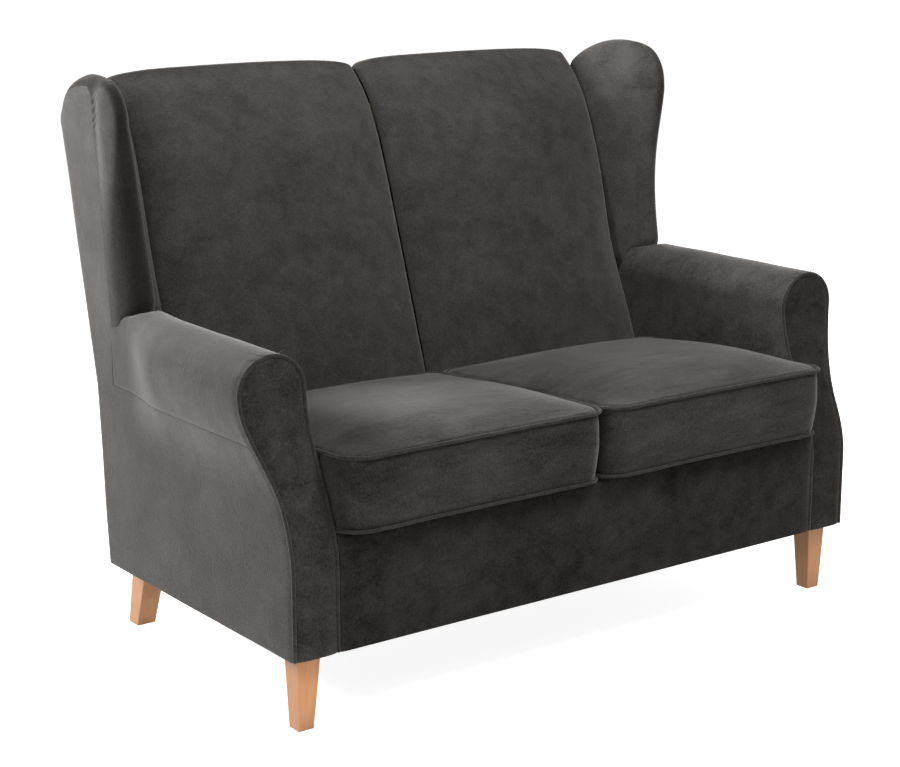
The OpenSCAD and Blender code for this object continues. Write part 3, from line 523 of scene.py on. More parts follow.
def arm_cover(side, name):
    """The padded cover: up the inside, over the scroll and down to the seam under it."""

    def place(u, v):
        z, turn = arm_height(v)
        outside = ease((turn or -1) * 2)
        rear = mix(seam_depth(z) + groove(z) + BEHIND_SEAM, WING_SEAM - GAP, outside)
        depth = mix(arm_front(z) + ARM_PIPE - PIPE_TUCK, rear, u)
        out = roll_reach(depth)
        if turn is None:
            x = inner_x
        elif turn == 2:
            x = flare_x(z, out)
        elif turn < 0:
            x = (inner_x + out) / 2 + (out - inner_x) / 2 * turn
        else:
            k = scroll_full(depth)
            x = (inner_x + out) / 2 + (out - inner_x) / 2 * turn ** k
            z = roll_z + roll_r * math.sqrt(max(0.0, 1 - turn * turn)) ** k
        return at(side * x, depth, z)

    def relief(u, v, co):
        z = co.z
        depth = co.y - front_y
        front = depth - arm_front(z)
        up = ease((z - 0.56) / 0.04) * (1 - ease((abs(co.x) - 0.634) / 0.014))
        to_wing = wing_foot_at(abs(co.x)) - CREASE_WIDTH - depth
        out = -PIPE_DIP * near(front - ARM_PIPE, PIPE_DIP_WIDTH)
        out -= ARM_SEAM_DIP * near((1 - v) * arm_girth, ARM_SEAM_WIDTH)
        out += ARM_BELLY * math.sin(math.pi * min(1, v * arm_girth / arm_wall)) * ease(front / 0.05)
        out -= CREASE_DIP * (1 if to_wing < 0 else near(to_wing, CREASE_WIDTH)) * up
        gather = max(0.0, 1 - abs(to_wing) / GATHER_REACH) ** 1.5 * up
        out += GATHER_LIFT * gather * rough((co.x * 3.0, co.y * 0.7, z * 3.0), GATHER_SIZE, 11 + side)
        out += ARM_UNEVEN * rough(co, 0.10, 3 + side)
        return out

    core = at(side * (inner_x + 0.05), 0.3, 0.5)
    # The left arm's cover is painted lighter higher up, like the side
    finish = side_cloth_lit_higher if side < 0 else brushed_cloth
    piece = object_of(name, bent_grid(120, 150, place, core, relief), finish)
    turned_edge(piece, PAD_WALL, 0.0005)
    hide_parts(name)


def outline_x(z, inset):
    """Inner and outer edge of the arm's front at a height, drawn in by inset."""
    if z <= roll_z:
        return inner_x + inset, flare_x(z, side_x + roll_out) - inset
    half = math.sqrt(max(0.0, (roll_r - inset) ** 2 - (z - roll_z) ** 2))
    return inner_x + roll_r - half, inner_x + roll_r + half


def arm_front_panel(side, name):
    """The swept front of an arm, softly padded inside its piping."""
    inset = ARM_PIPE - FACING_TUCK
    straight = roll_z - base_z
    arc = (roll_r - inset) * math.pi / 2
    knee = straight / (straight + arc)

    def place(u, v):
        if v < knee:
            z = base_z + straight * v / knee
        else:
            z = roll_z + (roll_r - inset) * math.sin(math.pi / 2 * (v - knee) / (1 - knee))
        low, high = outline_x(z, inset)
        return at(side * mix(low, high, u), arm_front(z) + FACING_BACK, z)

    def relief(u, v, co):
        low, high = outline_x(co.z, inset)
        across = min(u, 1 - u) * (high - low)
        up = roll_z + roll_r - inset - co.z
        edge = min(across, up)
        puff = FACING_PUFF * (1 - (1 - min(1.0, edge / FACING_ROUND)) ** FACING_FULL)
        return puff + FACING_UNEVEN * rough(co, 0.05, 21 + side) * min(1.0, edge / 0.02)

    core = at(side * 0.6, 0.3, 0.4)
    # Painted light and shade: the left front gets the lighter copy, the right front the darker one
    finish = facing_cloth_lit if side < 0 else front_cloth_shaded
    piece = object_of(name, bent_grid(36, 150, place, core, relief), finish)
    turned_edge(piece, WING_WALL, 0.0010)
    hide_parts(name)


def arm_piping(side, name):
    """The cord that runs up the outside of an arm's front, over it and down the inside."""
    r = ARM_PIPE / 2
    rise = [mix(base_z + 0.001, roll_z, k / 90) for k in range(90)]
    path = [(flare_x(z, side_x + roll_out) - r, z) for z in rise]
    for k in range(49):
        a = math.pi * k / 48
        path.append((inner_x + roll_r + (roll_r - r) * math.cos(a), roll_z + (roll_r - r) * math.sin(a)))
    path += [(inner_x + r, z) for z in reversed(rise)]
    points = [at(side * x, arm_front(z) + r, z) for x, z in path]
    piece = cord_round(name, points, r, False, "frame")
    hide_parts(name)


# Wings

# Rows of a wing's grid, how full its lobe is, and how its cloth dips and puckers
ROWS_UP = 96
ROWS_OVER = 64
up_share = ROWS_UP / (2 * ROWS_UP + ROWS_OVER)
LOBE_FULL = 0.80
RIGHT_LOBE = 1.14
WING_SUNK = 0.010
SEAM_MIN = 0.004
SEAM_TURN = 0.0015
SEAM_TUCK = 0.006
FOOT_DIP = 0.0040
FOOT_DIP_WIDTH = 0.010
WING_UNEVEN = 0.0010
WING_PUCKER = 0.0013


def wing_edge(z):
    """Depth of a wing's front edge: the foot stands forward and the waist is hollow."""
    t = (z - WING_LOW) / (LOBE_Z - WING_LOW)
    return mix(WING_FOOT, WING_FRONT, t) + WING_WAIST * 16 * (t * (1 - t)) ** 2


def wing_seam_at(z):
    """Depth of the seam between a wing's cover and the side panel."""
    return WING_SEAM + WING_SEAM_LEAN * (z - WING_LOW) / (seam_top_z - WING_LOW)


def full(share):
    """A sine or cosine raised so that a round outline bulges towards its corners."""
    return math.copysign(abs(share) ** LOBE_FULL, share)


def lobe_share(across, up):
    """How far out a point lies on such an outline: 1 on it."""
    return (abs(across) ** (2 / LOBE_FULL) + abs(up) ** (2 / LOBE_FULL)) ** (LOBE_FULL / 2)


def lifted(z, side):
    """The right wing's lobe stands a little taller than the left one's."""
    return LOBE_Z + (z - LOBE_Z) * RIGHT_LOBE if side > 0 and z > LOBE_Z else z


def roundness_at(turn):
    """The padding is well rounded at the front of a wing, less over its top, little behind."""
    degrees = math.degrees(turn)
    if degrees < 80:
        return mix(0.12, 0.40, degrees / 80)
    return mix(0.40, 1.0, ease((degrees - 80) / 80))


def wing_faces(depth, z):
    """Inner and outer face of a wing, which flares outwards as it rises."""
    seam = seam_depth(z) - 0.002
    front = wing_edge(z)
    if z > LOBE_Z:
        up = min(1.0, (z - LOBE_Z) / LOBE_B) ** (2 / LOBE_FULL)
        front = lobe_depth - lobe_front * (1 - up) ** (LOBE_FULL / 2)
    flare = min(1.0, max(0.0, (z - arm_h) / (LOBE_Z - arm_h))) ** 2
    slant = min(1.0, max(0.0, (seam - depth) / (seam - front - WING_NOSE / 3)))
    inner = mix(inner_x + GAP, WING_IN + FLARE_IN * flare, slant)
    outer = WING_OUT + FLARE_OUT * flare * ease((WING_SEAM + WING_SEAM_LEAN - depth) / WING_NOSE)
    return inner, outer


def rounded(inward, roundness):
    """Share of a wing's thickness that far inside its rounded edge."""
    turn = 1 - min(1.0, max(0.0, inward) / (WING_NOSE * roundness))
    return math.sqrt(max(0.0, 1 - turn * turn))


def arm_top_at(x, depth):
    """Height of the arm's top at a place, but not below the wing's foot."""
    half = (roll_reach(depth) - inner_x) / 2
    k = scroll_full(depth)
    t = (x - inner_x - half) / half
    if t < 0:
        return max(WING_LOW, roll_z + roll_r * math.sqrt(max(0.0, 1 - t * t)))
    return max(WING_LOW, roll_z + roll_r * max(0.0, 1 - t ** (2 / k)) ** (k / 2))


def wing_row(v, foot):
    """Outline point, point it is measured towards, seam's distance and roundness of a row."""
    if v < up_share:
        z = mix(foot, LOBE_Z, v / up_share)
        edge = wing_edge(z)
        return (edge, z), (lobe_depth, z), wing_seam_at(z) - edge, 1.0
    if v <= 1 - up_share:
        a = math.pi * (1 - (v - up_share) / (1 - 2 * up_share))
        reach, half = (lobe_front, lobe_seam) if a > math.pi / 2 else (lobe_rear, lobe_rear)
        y, z = reach * full(math.cos(a)), LOBE_B * full(math.sin(a))
        seam = math.hypot(y, z) * (1 - 1 / lobe_share(y / half, z / (LOBE_B - WING_SEAM_DROP)))
        return (lobe_depth + y, LOBE_Z + z), (lobe_depth, LOBE_Z), max(seam, SEAM_MIN), roundness_at(a)
    z = mix(LOBE_Z, foot, (v - 1 + up_share) / up_share)
    return (back_face(z) - SKIN - GAP, z), (lobe_depth, z), SEAM_MIN, 0.12


def wing_cover(side, name):
    """A wing's cover: its inner face, round its padded edge, and back to the outer seam."""
    inner_share = 0.62
    outer_share = 0.95

    def place(u, v):
        foot = arm_h
        for _ in range(3):
            edge, spine, seam, roundness = wing_row(v, foot)
            outline, spine = Vector(edge), Vector(spine)
            length = (spine - outline).length
            if u < inner_share:
                inward = length * (1 - math.sin(math.pi / 2 * u / inner_share))
            elif u < outer_share:
                k = (u - inner_share) / (outer_share - inner_share)
                inward = seam * (1 - math.cos(math.pi / 2 * k))
            else:
                inward = seam + SEAM_TURN * (u - outer_share) / (1 - outer_share)
            depth, z = outline + (spine - outline).normalized() * inward
            inner, outer = wing_faces(depth, z)
            hand = -1 if u < inner_share else 1
            x = (inner + outer) / 2 + hand * (outer - inner) / 2 * rounded(inward, roundness)
            foot = arm_top_at(x, depth) - WING_SUNK
        if u > outer_share:
            x -= SEAM_TUCK * (u - outer_share) / (1 - outer_share)
        return at(side * x, depth, lifted(z, side))

    def relief(u, v, co):
        x, depth, z = abs(co.x), co.y - front_y, co.z
        foot = max(0.0, z - arm_top_at(x, depth) + 0.006)
        out = -FOOT_DIP * near(foot, FOOT_DIP_WIDTH) * ease((1 - u) / 0.2)
        out += WING_UNEVEN * rough((co.x, co.y, z * 0.6), 0.075, 41 + side)
        pucker = ease((z - LOBE_Z + 0.03) / 0.05) * ease((u - 0.80) / 0.12)
        pucker *= ease((lobe_depth - depth + 0.02) / 0.04)
        out += WING_PUCKER * pucker * math.sin(z * PUCKERS + depth * 260 + 2 * rough(co, 0.03, 5))
        return out

    core = at(side * 0.62, lobe_depth, 0.8)
    # Painted light and shade: each wing is lighter on its lit face and darker round its nose
    finish = left_wing_cloth_lit_and_shaded if side < 0 else right_wing_cloth_lit_and_shaded
    piece = object_of(name, bent_grid(84, 2 * ROWS_UP + ROWS_OVER, place, core, relief), finish)
    turned_edge(piece, WING_WALL, 0.0008)
    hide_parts(name)


# Side panels, from the underside up to the wing's top

# How far their cloth dips, lifts and puckers
SIDE_PIPE_DIP = 0.0016
SIDE_REAR_DIP = 0.0014
SIDE_SEAM_LIFT = 0.0003
SIDE_PUCKER = 0.0010
SIDE_UNEVEN = 0.0012


def side_panel(side, name):
    """The outer side: one cloth below the arm's seam, and its narrow part up the wing."""
    columns_front = 110
    columns_rear = 36
    split = columns_front / (columns_front + columns_rear)
    last_turn = math.radians(82)

    def low_place(u, v):
        z = mix(base_z, ROLL_SEAM_Z - GAP, v)
        if u < split:
            depth = mix(arm_front(z) + ARM_PIPE - PIPE_TUCK, WING_SEAM, u / split)
        else:
            depth = mix(WING_SEAM, back_face(z), (u - split) / (1 - split))
        return at(side * flare_x(z, roll_reach(depth)), depth, z)

    def high_place(u, v):
        shoulder = 0.76
        if v < shoulder:
            z = mix(ROLL_SEAM_Z - GAP, seam_top_z, v / shoulder)
            front = wing_seam_at(max(z, WING_LOW))
            rear = back_face(z)
        else:
            a = last_turn * (v - shoulder) / (1 - shoulder)
            z = seam_top_z + (wing_h - WING_SEAM_DROP - seam_top_z) * full(math.sin(a))
            front = lobe_depth - lobe_seam * full(math.cos(a))
            rear = lobe_depth + (lobe_rear + SKIN) * full(math.cos(a))
        depth = mix(front, rear, u)
        x = side_x
        if z > LOBE_Z:
            y = (depth - lobe_depth) / (lobe_front if depth < lobe_depth else lobe_rear)
            up = (z - LOBE_Z) / LOBE_B
            inward = math.hypot(depth - lobe_depth, z - LOBE_Z) * (1 / max(lobe_share(y, up), 0.01) - 1)
            inner, outer = wing_faces(depth, z)
            thick = (outer - inner) / 2 * rounded(inward, roundness_at(math.atan2(up, y)))
            x = mix(x, min(x, (inner + outer) / 2 + thick), ease(math.atan2(up, y) / 1.2))
        return at(side * x, depth, lifted(z, side))

    def relief(u, v, co):
        depth = co.y - front_y
        front = depth - arm_front(co.z)
        rear = back_face(co.z) - depth
        out = -SIDE_PIPE_DIP * near(front - ARM_PIPE, 0.006) - SIDE_REAR_DIP * near(rear, 0.005)
        out -= ARM_SEAM_DIP * near(co.z - ROLL_SEAM_Z, ARM_SEAM_WIDTH) * ease((WING_SEAM - depth) / 0.10)
        out += SIDE_SEAM_LIFT * near(depth - wing_seam_at(co.z), 0.030) * ease((co.z - WING_LOW) / 0.04)
        pucker = ease((co.z - LOBE_Z + 0.03) / 0.05) * near(depth - lobe_depth + lobe_seam, 0.025)
        out += SIDE_PUCKER * pucker * math.sin(co.z * PUCKERS + 2 * rough(co, 0.03, 6))
        return out + SIDE_UNEVEN * rough(co, 0.16, 31 + side)

    core = at(side * 0.5, 0.35, 0.4)
    low = bent_grid(columns_front + columns_rear, 84, low_place, core, relief)
    high = bent_grid(columns_rear, 140, high_place, core, relief)
    draft = bpy.data.meshes.new("draft")
    high.to_mesh(draft)
    high.free()
    low.from_mesh(draft)
    bpy.data.meshes.remove(draft)
    bmesh.ops.remove_doubles(low, verts=low.verts, dist=2 * MERGE)
    # Painted light: the side turns lighter higher up
    piece = object_of(name, low, side_cloth_lit_higher)
    turned_edge(piece, PANEL_WALL, 0.0005)
    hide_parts(name)


# Back panels

# Where they roll over the top, how their crown rises, and how their seams dip
ROLL_OVER = 0.100
LIP = 0.070
TOP_ROUND = 0.012
ROW_SPREAD = 1.3
CROWN_RISE = 0.250
PANEL_UNEVEN = 0.0016
PANEL_SEAM_DIP = 0.003
PANEL_SEAM_WIDTH = 0.012


def crown_at(z):
    """How far a back panel stands out in front of its seams at a height."""
    if z > LOBE_Z - ROLL_OVER:
        t = ease((z - LOBE_Z + ROLL_OVER) / (BACK_H - LOBE_Z + ROLL_OVER))
        return mix(BACK_CROWN, TOP_CROWN, t)
    return mix(LOW_CROWN, BACK_CROWN, ease((z - PAD_LOW) / CROWN_RISE))


def back_panel(side, name):
    """A crowned back panel, from its hem behind, over the top and down to the seat."""
    hem_share, round_share = 0.05, 0.10

    def place(u, v):
        across = 2 * u - 1
        bulge = (1 - abs(across) ** 4) ** 0.6
        top = BACK_H + TOP_CROWN * bulge
        if v < hem_share:
            z = mix(hem_z, top - TOP_ROUND, v / hem_share)
            depth = back_face(z)
        elif v < round_share:
            a = math.pi / 2 * (v - hem_share) / (round_share - hem_share)
            z = top - TOP_ROUND + TOP_ROUND * math.sin(a)
            depth = back_face(top - TOP_ROUND) - TOP_ROUND + TOP_ROUND * math.cos(a)
            depth = min(depth, back_top)
        else:
            level = mix(BACK_H, PAD_LOW, ((v - round_share) / (1 - round_share)) ** ROW_SPREAD)
            lift = mix(math.atan(seam_slope(level)), math.pi / 2, ease((level - BACK_H + LIP) / LIP))
            soft = mix((1 - abs(across) ** 2.7) ** 0.8, bulge, ease((level - 0.85) / 0.15))
            crown = crown_at(level) * soft
            depth = seam_depth(level) - crown * math.cos(lift)
            z = level + crown * math.sin(lift)
            depth += groove(level) * ease((u - 0.84) / 0.16) ** 1.5
        return at(side * mix(GAP / 2, panel_edge, u), depth, z)

    def relief(u, v, co):
        middle = min(u, 1 - u)
        out = PANEL_UNEVEN * rough((co.x, co.y, co.z * 0.7), 0.15, 51 + side) * min(1.0, middle / 0.1)
        return out - PANEL_SEAM_DIP * near(middle, PANEL_SEAM_WIDTH)

    core = at(side * 0.28, 0.72, 0.7)
    piece = object_of(name, bent_grid(120, 200, place, core, relief), cloth)
    turned_edge(piece, PAD_WALL, 0.0007)
    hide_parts(name)


# Front rail and outer back

# How the rail's padding swells, and how the outer back is cut and drawn in
RAIL_ROUND = 0.011
RAIL_PUFF = 0.0035
RAIL_END_DIP = 0.002
RAIL_UNEVEN = 0.0010
CORNER_RISE = 0.040
CORNER_STEP = 0.004
OUTER_TUCK = 0.0035
OUTER_UNEVEN = 0.0012
MOST_DRAWN = 0.0030


def front_rail_cover():
    """The padded front rail, from the underside up and over its rounded top."""
    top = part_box("front_rail_cover")[1].z
    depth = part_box("front_rail_cover")[1].y - front_y
    edge = inner_x - GAP
    r = RAIL_ROUND
    rise = top - r - base_z

    def place(u, v):
        s = v * (rise + r * math.pi / 2 + depth - r)
        if s < rise:
            y, z = 0.0, base_z + s
        elif s < rise + r * math.pi / 2:
            a = (s - rise) / r
            y, z = r - r * math.cos(a), top - r + r * math.sin(a)
        else:
            y, z = r + (s - rise - r * math.pi / 2), top
        return at(mix(-edge, edge, u), y, z)

    def relief(u, v, co):
        side = edge - abs(co.x)
        up = (co.z - base_z) / (top - base_z)
        out = RAIL_PUFF * math.sin(math.pi * min(1.0, up)) ** 0.7 * min(1.0, side / 0.03)
        out += RAIL_UNEVEN * rough((co.x * 0.6, co.y, co.z), 0.12, 61)
        return out - RAIL_END_DIP * near(side, 0.006)

    # Painted shade: the rail gets the darker copy of the cloth
    piece = object_of("front_rail_cover", bent_grid(200, 56, place, at(0, 0.2, 0.2), relief), front_cloth_shaded)
    turned_edge(piece, PAD_WALL, 0.0012)
    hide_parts("front_rail_cover")


def outer_back():
    """The flat cloth behind, whose upper corners reach up behind the wings."""
    corner_z = LOBE_Z + CORNER_RISE

    def top_at(x):
        if x < panel_edge - CORNER_STEP:
            return hem_z
        if x < panel_edge:
            return mix(hem_z, corner_z, (x - panel_edge + CORNER_STEP) / CORNER_STEP)
        return mix(corner_z, LOBE_Z + CORNER_STEP, (x - panel_edge) / (side_x - panel_edge))

    def place(u, v):
        x = mix(-1, 1, u) * (side_x - OUTER_TUCK)
        z = mix(base_z, top_at(abs(x)), v)
        return at(x, back_face(z), z)

    def relief(u, v, co):
        side = side_x - abs(co.x)
        corner_top = near(top_at(abs(co.x)) - co.z, 0.022) * ease((abs(co.x) - panel_edge) / 0.02)
        drawn = 0.0028 * near(side, 0.012) + 0.0015 * near(hem_z - co.z, 0.010) + MOST_DRAWN * corner_top
        return OUTER_UNEVEN * rough((co.x, co.y, co.z * 0.8), 0.20, 71) - min(drawn, MOST_DRAWN)

    piece = object_of("outer_back", bent_grid(200, 140, place, at(0, 0.3, 0.5), relief), cloth)
    turned_edge(piece, PANEL_WALL, 0.0014)
    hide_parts("outer_back")


# Seat cushions

# The deck and a cushion on it, how its filling swells it, and the cloth simulation
SEAT_SLOPE = math.radians(3)
DECK_Z0 = 0.343
CUSHION_H = 0.134
CUSHION_B = 0.2517
CUSHION_MID = 0.2262
CUSHION_LEAN = 0.015
CUSHION_PUFF = 0.017
REAR_DOME = 0.25
BORDER_PUFF = 0.003
CORD_WAVE = 0.0006
VOXEL = 0.0060
PIN_REACH = 0.006
MOST_SWELL = 0.012
PRESSURE = 4
SIM_FRAMES = 16
CUSHION_DRAW = 0.003
FRONT_CORNER = 0.042
REAR_CORNER = 0.024
cushion_a = (inner_x - 3 * GAP) / 2 - CUSHION_PIPE
cushion_xc = (inner_x - GAP) / 2


def on_seat(x, y, h):
    """A point of a cushion laid on the sloping deck."""
    c, s = math.cos(SEAT_SLOPE), math.sin(SEAT_SLOPE)
    return at(x, y * c + h * s, DECK_Z0 + GAP - y * s + h * c)


def off_seat(co):
    """The same backwards: across, along and above the deck."""
    c, s = math.cos(SEAT_SLOPE), math.sin(SEAT_SLOPE)
    y, z = co.y - front_y, co.z - DECK_Z0 - GAP
    return co.x, y * c - z * s, y * s + z * c


def corner(cx, cy, r, start):
    """A quarter round, from a turn in degrees."""
    turns = [math.radians(start + 9 * k) for k in range(11)]
    return [(cx + r * math.cos(t), cy + r * math.sin(t)) for t in turns]


def drawn_side(p, q, inward, steps=24):
    """A side between two corners, drawn in at its middle."""
    points = []
    for k in range(1, steps):
        t = k / steps
        pull = CUSHION_DRAW * math.sin(math.pi * t)
        points.append((mix(p[0], q[0], t) + inward[0] * pull, mix(p[1], q[1], t) + inward[1] * pull))
    return points


def cushion_ring(side, grown, h):
    """Outline of a cushion at a height above the deck."""
    a, b = cushion_a + grown, CUSHION_B + grown
    f, r = FRONT_CORNER + grown, REAR_CORNER + grown
    outline = drawn_side((a, -b + f), (a, b - r), (-1, 0)) + corner(a - r, b - r, r, 0)
    outline += drawn_side((a - r, b), (-a + r, b), (0, -1)) + corner(-a + r, b - r, r, 90)
    outline += drawn_side((-a, b - r), (-a, -b + f), (1, 0)) + corner(-a + f, -b + f, f, 180)
    outline += drawn_side((-a + f, -b), (a - f, -b), (0, 1)) + corner(a - f, -b + f, f, 270)
    ring = []
    for x, y in outline:
        lean = CUSHION_LEAN * min(h / CUSHION_H, 1) * ease((CUSHION_B - y) / 2 / CUSHION_B)
        ring.append(on_seat(side * (cushion_xc + x), CUSHION_MID + y - lean, h))
    return ring


def outer_skin(node):
    """A bmesh of a CAD node's outer surface, merged, without the hollow inside it."""
    bm = bmesh.new()
    bm.from_mesh(frame["nodes"][node].data)
    bmesh.ops.remove_doubles(bm, verts=bm.verts, dist=CLOSE)
    outside = max(bm.verts, key=lambda vert: abs(vert.co.x))
    found, todo = {outside}, [outside]
    while todo:
        for edge in todo.pop().link_edges:
            fresh = [vert for vert in edge.verts if vert not in found]
            found.update(fresh)
            todo += fresh
    bmesh.ops.delete(bm, geom=[vert for vert in bm.verts if vert not in found], context="VERTS")
    return bm


def settled(piece):
    """The mesh of a piece as its modifiers leave it."""
    return bpy.data.meshes.new_from_object(piece.evaluated_get(bpy.context.evaluated_depsgraph_get()))


def swell(piece, pinned):
    """Fills a cover by a cloth simulation that holds it along its piped edges."""
    piece.vertex_groups.new(name="piped").add(pinned, 1.0, "ADD")
    cloth_sim = piece.modifiers.new("cloth", "CLOTH")
    rules = cloth_sim.settings
    rules.quality = 5
    rules.mass = 0.3
    rules.tension_stiffness = 40
    rules.compression_stiffness = 40
    rules.shear_stiffness = 30
    rules.bending_stiffness = 12
    rules.use_pressure = True
    rules.uniform_pressure_force = PRESSURE
    rules.vertex_group_mass = "piped"
    rules.effector_weights.gravity = 0
    cloth_sim.point_cache.frame_end = SIM_FRAMES
    for step in range(1, SIM_FRAMES + 1):
        bpy.context.scene.frame_set(step)
    bpy.context.view_layer.update()
    mesh = settled(piece)
    bpy.context.scene.frame_set(1)
    return mesh


def plumped(co, side):
    """Fills a cushion out: its top domes, and its border swells between the piped edges."""
    x, y, h = off_seat(co)
    across = (side * x - cushion_xc) / cushion_a
    along = (y - CUSHION_MID) / CUSHION_B
    if h > CUSHION_H - 0.001:
        full_in_front = mix(1.0, REAR_DOME, ease((along + 0.3) / 1.1))
        h += CUSHION_PUFF * full_in_front * max(0.0, 1 - across ** 4) * max(0.0, 1 - along ** 4)
    swell_out = BORDER_PUFF * math.sin(math.pi * min(1.0, max(0.0, h / CUSHION_H)))
    y += math.copysign(swell_out, along) * ease((abs(along) - 0.9) / 0.1)
    return on_seat(x, y, h)


def held_in_place(vert, side):
    """Keeps a cushion's cover on the deck, between the arms and in front of the back."""
    x, y, h = off_seat(vert.co)
    h = max(h, 0.0002)
    across = side * x
    clear = ease((-0.002 - y) / 0.02) * 0.012
    across = min(max(across, 0.0004), inner_x - 0.0008 + clear)
    y = min(y, CUSHION_MID + CUSHION_B + CUSHION_PIPE + 0.001)
    vert.co = on_seat(side * across, y, h)


def even_form(name):
    """A cushion's form in the frame, made an even mesh, as a draft."""
    mesh = bpy.data.meshes.new(name)
    skin = outer_skin(name)
    skin.to_mesh(mesh)
    skin.free()
    draft = bpy.data.objects.new(name + "_draft", mesh)
    bpy.context.scene.collection.objects.link(draft)
    voxels = draft.modifiers.new("even", "REMESH")
    voxels.mode = "VOXEL"
    voxels.voxel_size = VOXEL
    even = settled(draft)
    draft.modifiers.clear()
    draft.data = even
    return draft


def piped_verts(side, mesh):
    """The vertices of a cushion's cover that lie under its piping."""
    rings = [cushion_ring(side, 0, h) for h in (CUSHION_PIPE / 2 + GAP, CUSHION_H - CUSHION_PIPE / 2)]
    edge = [point for ring in rings for point in ring]
    tree = kdtree.KDTree(len(edge))
    for index, point in enumerate(edge):
        tree.insert(point, index)
    tree.balance()
    return [vert.index for vert in mesh.vertices if tree.find(vert.co)[2] < PIN_REACH]


def cushion_piping(side, name, body):
    """The cords round a cushion's lower and upper edge, which wave a little."""
    r = CUSHION_PIPE / 2
    for label, h in (("lower", r + GAP), ("upper", CUSHION_H - r)):
        ring = [p + CORD_WAVE * Vector((rough(p, 0.05, 1), rough(p, 0.05, 2), rough(p, 0.05, 3)))
                for p in cushion_ring(side, r + GAP / 3, h)]
        cord_round(f"{name}_{label}_piping", ring, r, True, body)
    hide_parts(name.replace("seat_cushion", "cushion_piping"))


def seat_cushion(side, name, body):
    """A box cushion: the frame's form made even, plumped and filled, with piped edges."""
    draft = even_form(name)
    for vert in draft.data.vertices:
        vert.co = plumped(vert.co, side)
    start = [vert.co.copy() for vert in draft.data.vertices]
    swollen = swell(draft, piped_verts(side, draft.data))
    draft.modifiers.clear()
    draft.data = swollen
    bm = bmesh.new()
    bm.from_mesh(draft.data)
    bpy.data.objects.remove(draft)
    for vert, first in zip(bm.verts, start):
        move = vert.co - first
        if move.length > MOST_SWELL:
            vert.co = first + move.normalized() * MOST_SWELL
        held_in_place(vert, side)
    bmesh.ops.smooth_vert(bm, verts=bm.verts, factor=0.5, use_axis_x=True, use_axis_y=True, use_axis_z=True)
    piece = object_of(name, bm, seat_cloth, body)
    finer = piece.modifiers.new("finer", "SUBSURF")
    finer.levels = finer.render_levels = 1
    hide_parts(name)
    cushion_piping(side, name, body)


# Legs

LEG_BREAK = 0.0018


def leg(name):
    """A tapered square leg with softly broken edges, in the CAD leg's place."""
    bm = outer_skin(name)
    top = [v for v in bm.verts if v.co.z > base_z - 0.0001]
    foot = [v for v in bm.verts if v.co.z < 0.0001]

    def middle_and_size(verts):
        xs, ys = [v.co.x for v in verts], [v.co.y for v in verts]
        return (max(xs) + min(xs)) / 2, (max(ys) + min(ys)) / 2, max(xs) - min(xs), max(ys) - min(ys)

    ends = {1: (*middle_and_size(top), base_z), -1: (*middle_and_size(foot), 0.0)}
    bm.free()
    bm = bmesh.new()
    bmesh.ops.create_cube(bm, size=2)
    for vert in bm.verts:
        x, y, width, depth, z = ends[1 if vert.co.z > 0 else -1]
        vert.co = Vector((x + vert.co.x * width / 2, y + vert.co.y * depth / 2, z))
    edges = [e for e in bm.edges if min(v.co.z for v in e.verts) < 0.001]
    bmesh.ops.bevel(bm, geom=edges, offset=LEG_BREAK, segments=3, profile=0.5, affect="EDGES", material=-1)
    piece = object_of(name, bm, beech, "frame")
    piece.data.shade_flat()
    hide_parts(name)


for side, hand in ((1, "right"), (-1, "left")):
    arm_cover(side, f"arm_cover_{hand}")
    arm_front_panel(side, f"arm_front_{hand}")
    arm_piping(side, f"arm_piping_{hand}")
    side_panel(side, f"side_panel_{hand}")
    wing_cover(side, f"wing_cover_{hand}")
    back_panel(side, f"back_panel_{hand}")
    seat_cushion(side, f"seat_cushion_{hand}", f"cushion_{hand}")
    leg(f"leg_front_{hand}")
    leg(f"leg_rear_{hand}")
front_rail_cover()
outer_back()


# Floor, light and camera


def stage_floor():
    """A pale floor that looks white but still takes the sofa's shadow."""
    bm = bmesh.new()
    bmesh.ops.create_grid(bm, x_segments=1, y_segments=1, size=30)
    mesh = bpy.data.meshes.new("floor")
    bm.to_mesh(mesh)
    bm.free()
    floor = bpy.data.objects.new("floor", mesh)
    bpy.context.scene.collection.objects.link(floor)
    paint = Paint("floor")
    lit = paint.node("ShaderNodeBsdfDiffuse", {}, {"Color": (0.75, 0.75, 0.75, 1)})
    nearby = paint.node("ShaderNodeTexGradient", {"gradient_type": "SPHERICAL"}, {
        "Vector": paint.stretched((0.33, 0.33, 0.33)),
    })
    white = paint.between(nearby * 2.5, (1, 1, 1), (0.90, 0.90, 0.90))
    glow = paint.node("ShaderNodeEmission", {}, {"Color": white, "Strength": 1.0})
    both = paint.node("ShaderNodeAddShader", {}, {0: lit, 1: glow})
    shown = paint.node("ShaderNodeMixShader", {}, {0: paint.seen(), 1: lit, 2: both})
    paint.node("ShaderNodeOutputMaterial", {}, {"Surface": shown})
    mesh.materials.append(paint.material)


def hang(lamp_data, place, aim):
    """Hangs a lamp at a place, aimed at a point."""
    lamp = bpy.data.objects.new(lamp_data.name, lamp_data)
    lamp.location = place
    lamp.rotation_euler = (Vector(aim) - Vector(place)).to_track_quat("-Z", "Y").to_euler()
    bpy.context.scene.collection.objects.link(lamp)


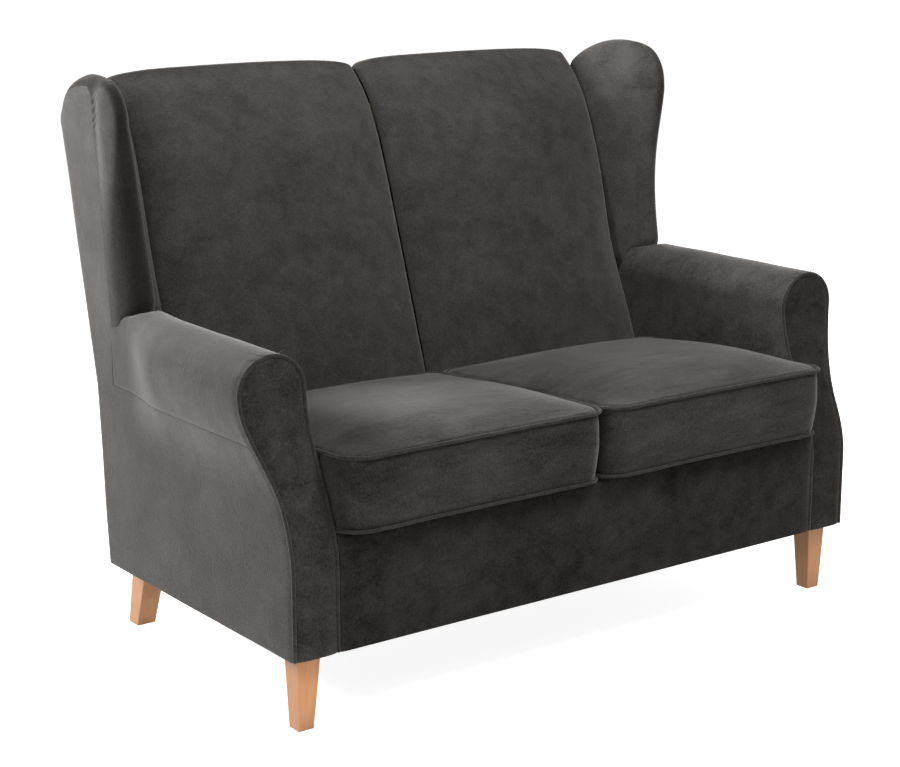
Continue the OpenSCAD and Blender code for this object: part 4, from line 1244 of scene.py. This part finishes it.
def softbox(name, place, aim, size, power):
    """A square lamp."""
    data = bpy.data.lights.new(name, "AREA")
    data.shape = "RECTANGLE"
    data.size = data.size_y = size
    data.energy = power
    hang(data, place, aim)


def leg_light(place, aim, power):
    """A narrow lamp that lifts a leg's front face out of the sofa's shade."""
    data = bpy.data.lights.new("leg_light", "SPOT")
    data.energy = power
    data.spot_size = math.radians(2.4)
    data.spot_blend = 0.6
    data.shadow_soft_size = 0.05
    hang(data, place, aim)


def world_light(strength):
    """Faint light from all round, behind which the camera sees white."""
    world = bpy.data.worlds.new("studio")
    nodes = Nodes(world)
    room = nodes.node("ShaderNodeBackground", {}, {"Color": (1, 1, 1, 1), "Strength": strength})
    white = nodes.node("ShaderNodeBackground", {}, {"Color": (1, 1, 1, 1), "Strength": 1.0})
    shown = nodes.node("ShaderNodeMixShader", {}, {0: nodes.seen(), 1: room, 2: white})
    nodes.node("ShaderNodeOutputWorld", {}, {"Surface": shown})
    bpy.context.scene.world = world


stage_floor()
world_light(0.06)
softbox("left_box", (-2.3, 1.8, 2.0), (-0.5, 0, 0.8), 1.2, 156)
softbox("top_box", (0.2, 0.0, 3.0), (0.1, 0, 0.5), 1.8, 24)
softbox("front_box", (0.3, -1.7, 2.9), (0, 0, 0.6), 1.2, 44)
softbox("fill_box", (-2.6, -1.8, 2.3), (0.3, 0, 0.6), 1.2, 22)
softbox("right_box", (2.4, 1.9, 1.1), (0.6, 0.1, 0.6), 1.4, 60)
for x, depth, power in ((-0.61, 0.045, 620), (0.61, 0.045, 400), (-0.58, 0.64, 60)):
    leg_light((-0.9 + 0.8 * x, -4.4, 0.5), at(x, depth, 0.06), power)

camera_data = bpy.data.cameras.new("camera")
camera_data.lens = 80.64
camera_data.sensor_width = 36
camera = bpy.data.objects.new("camera", camera_data)
camera.location = (-2.298, -3.032, 1.362)
camera.rotation_euler = (math.radians(90 - 13.53), 0, math.radians(-36.54))
bpy.context.scene.collection.objects.link(camera)
bpy.context.scene.camera = camera
bpy.context.scene.view_settings.view_transform = "Standard"
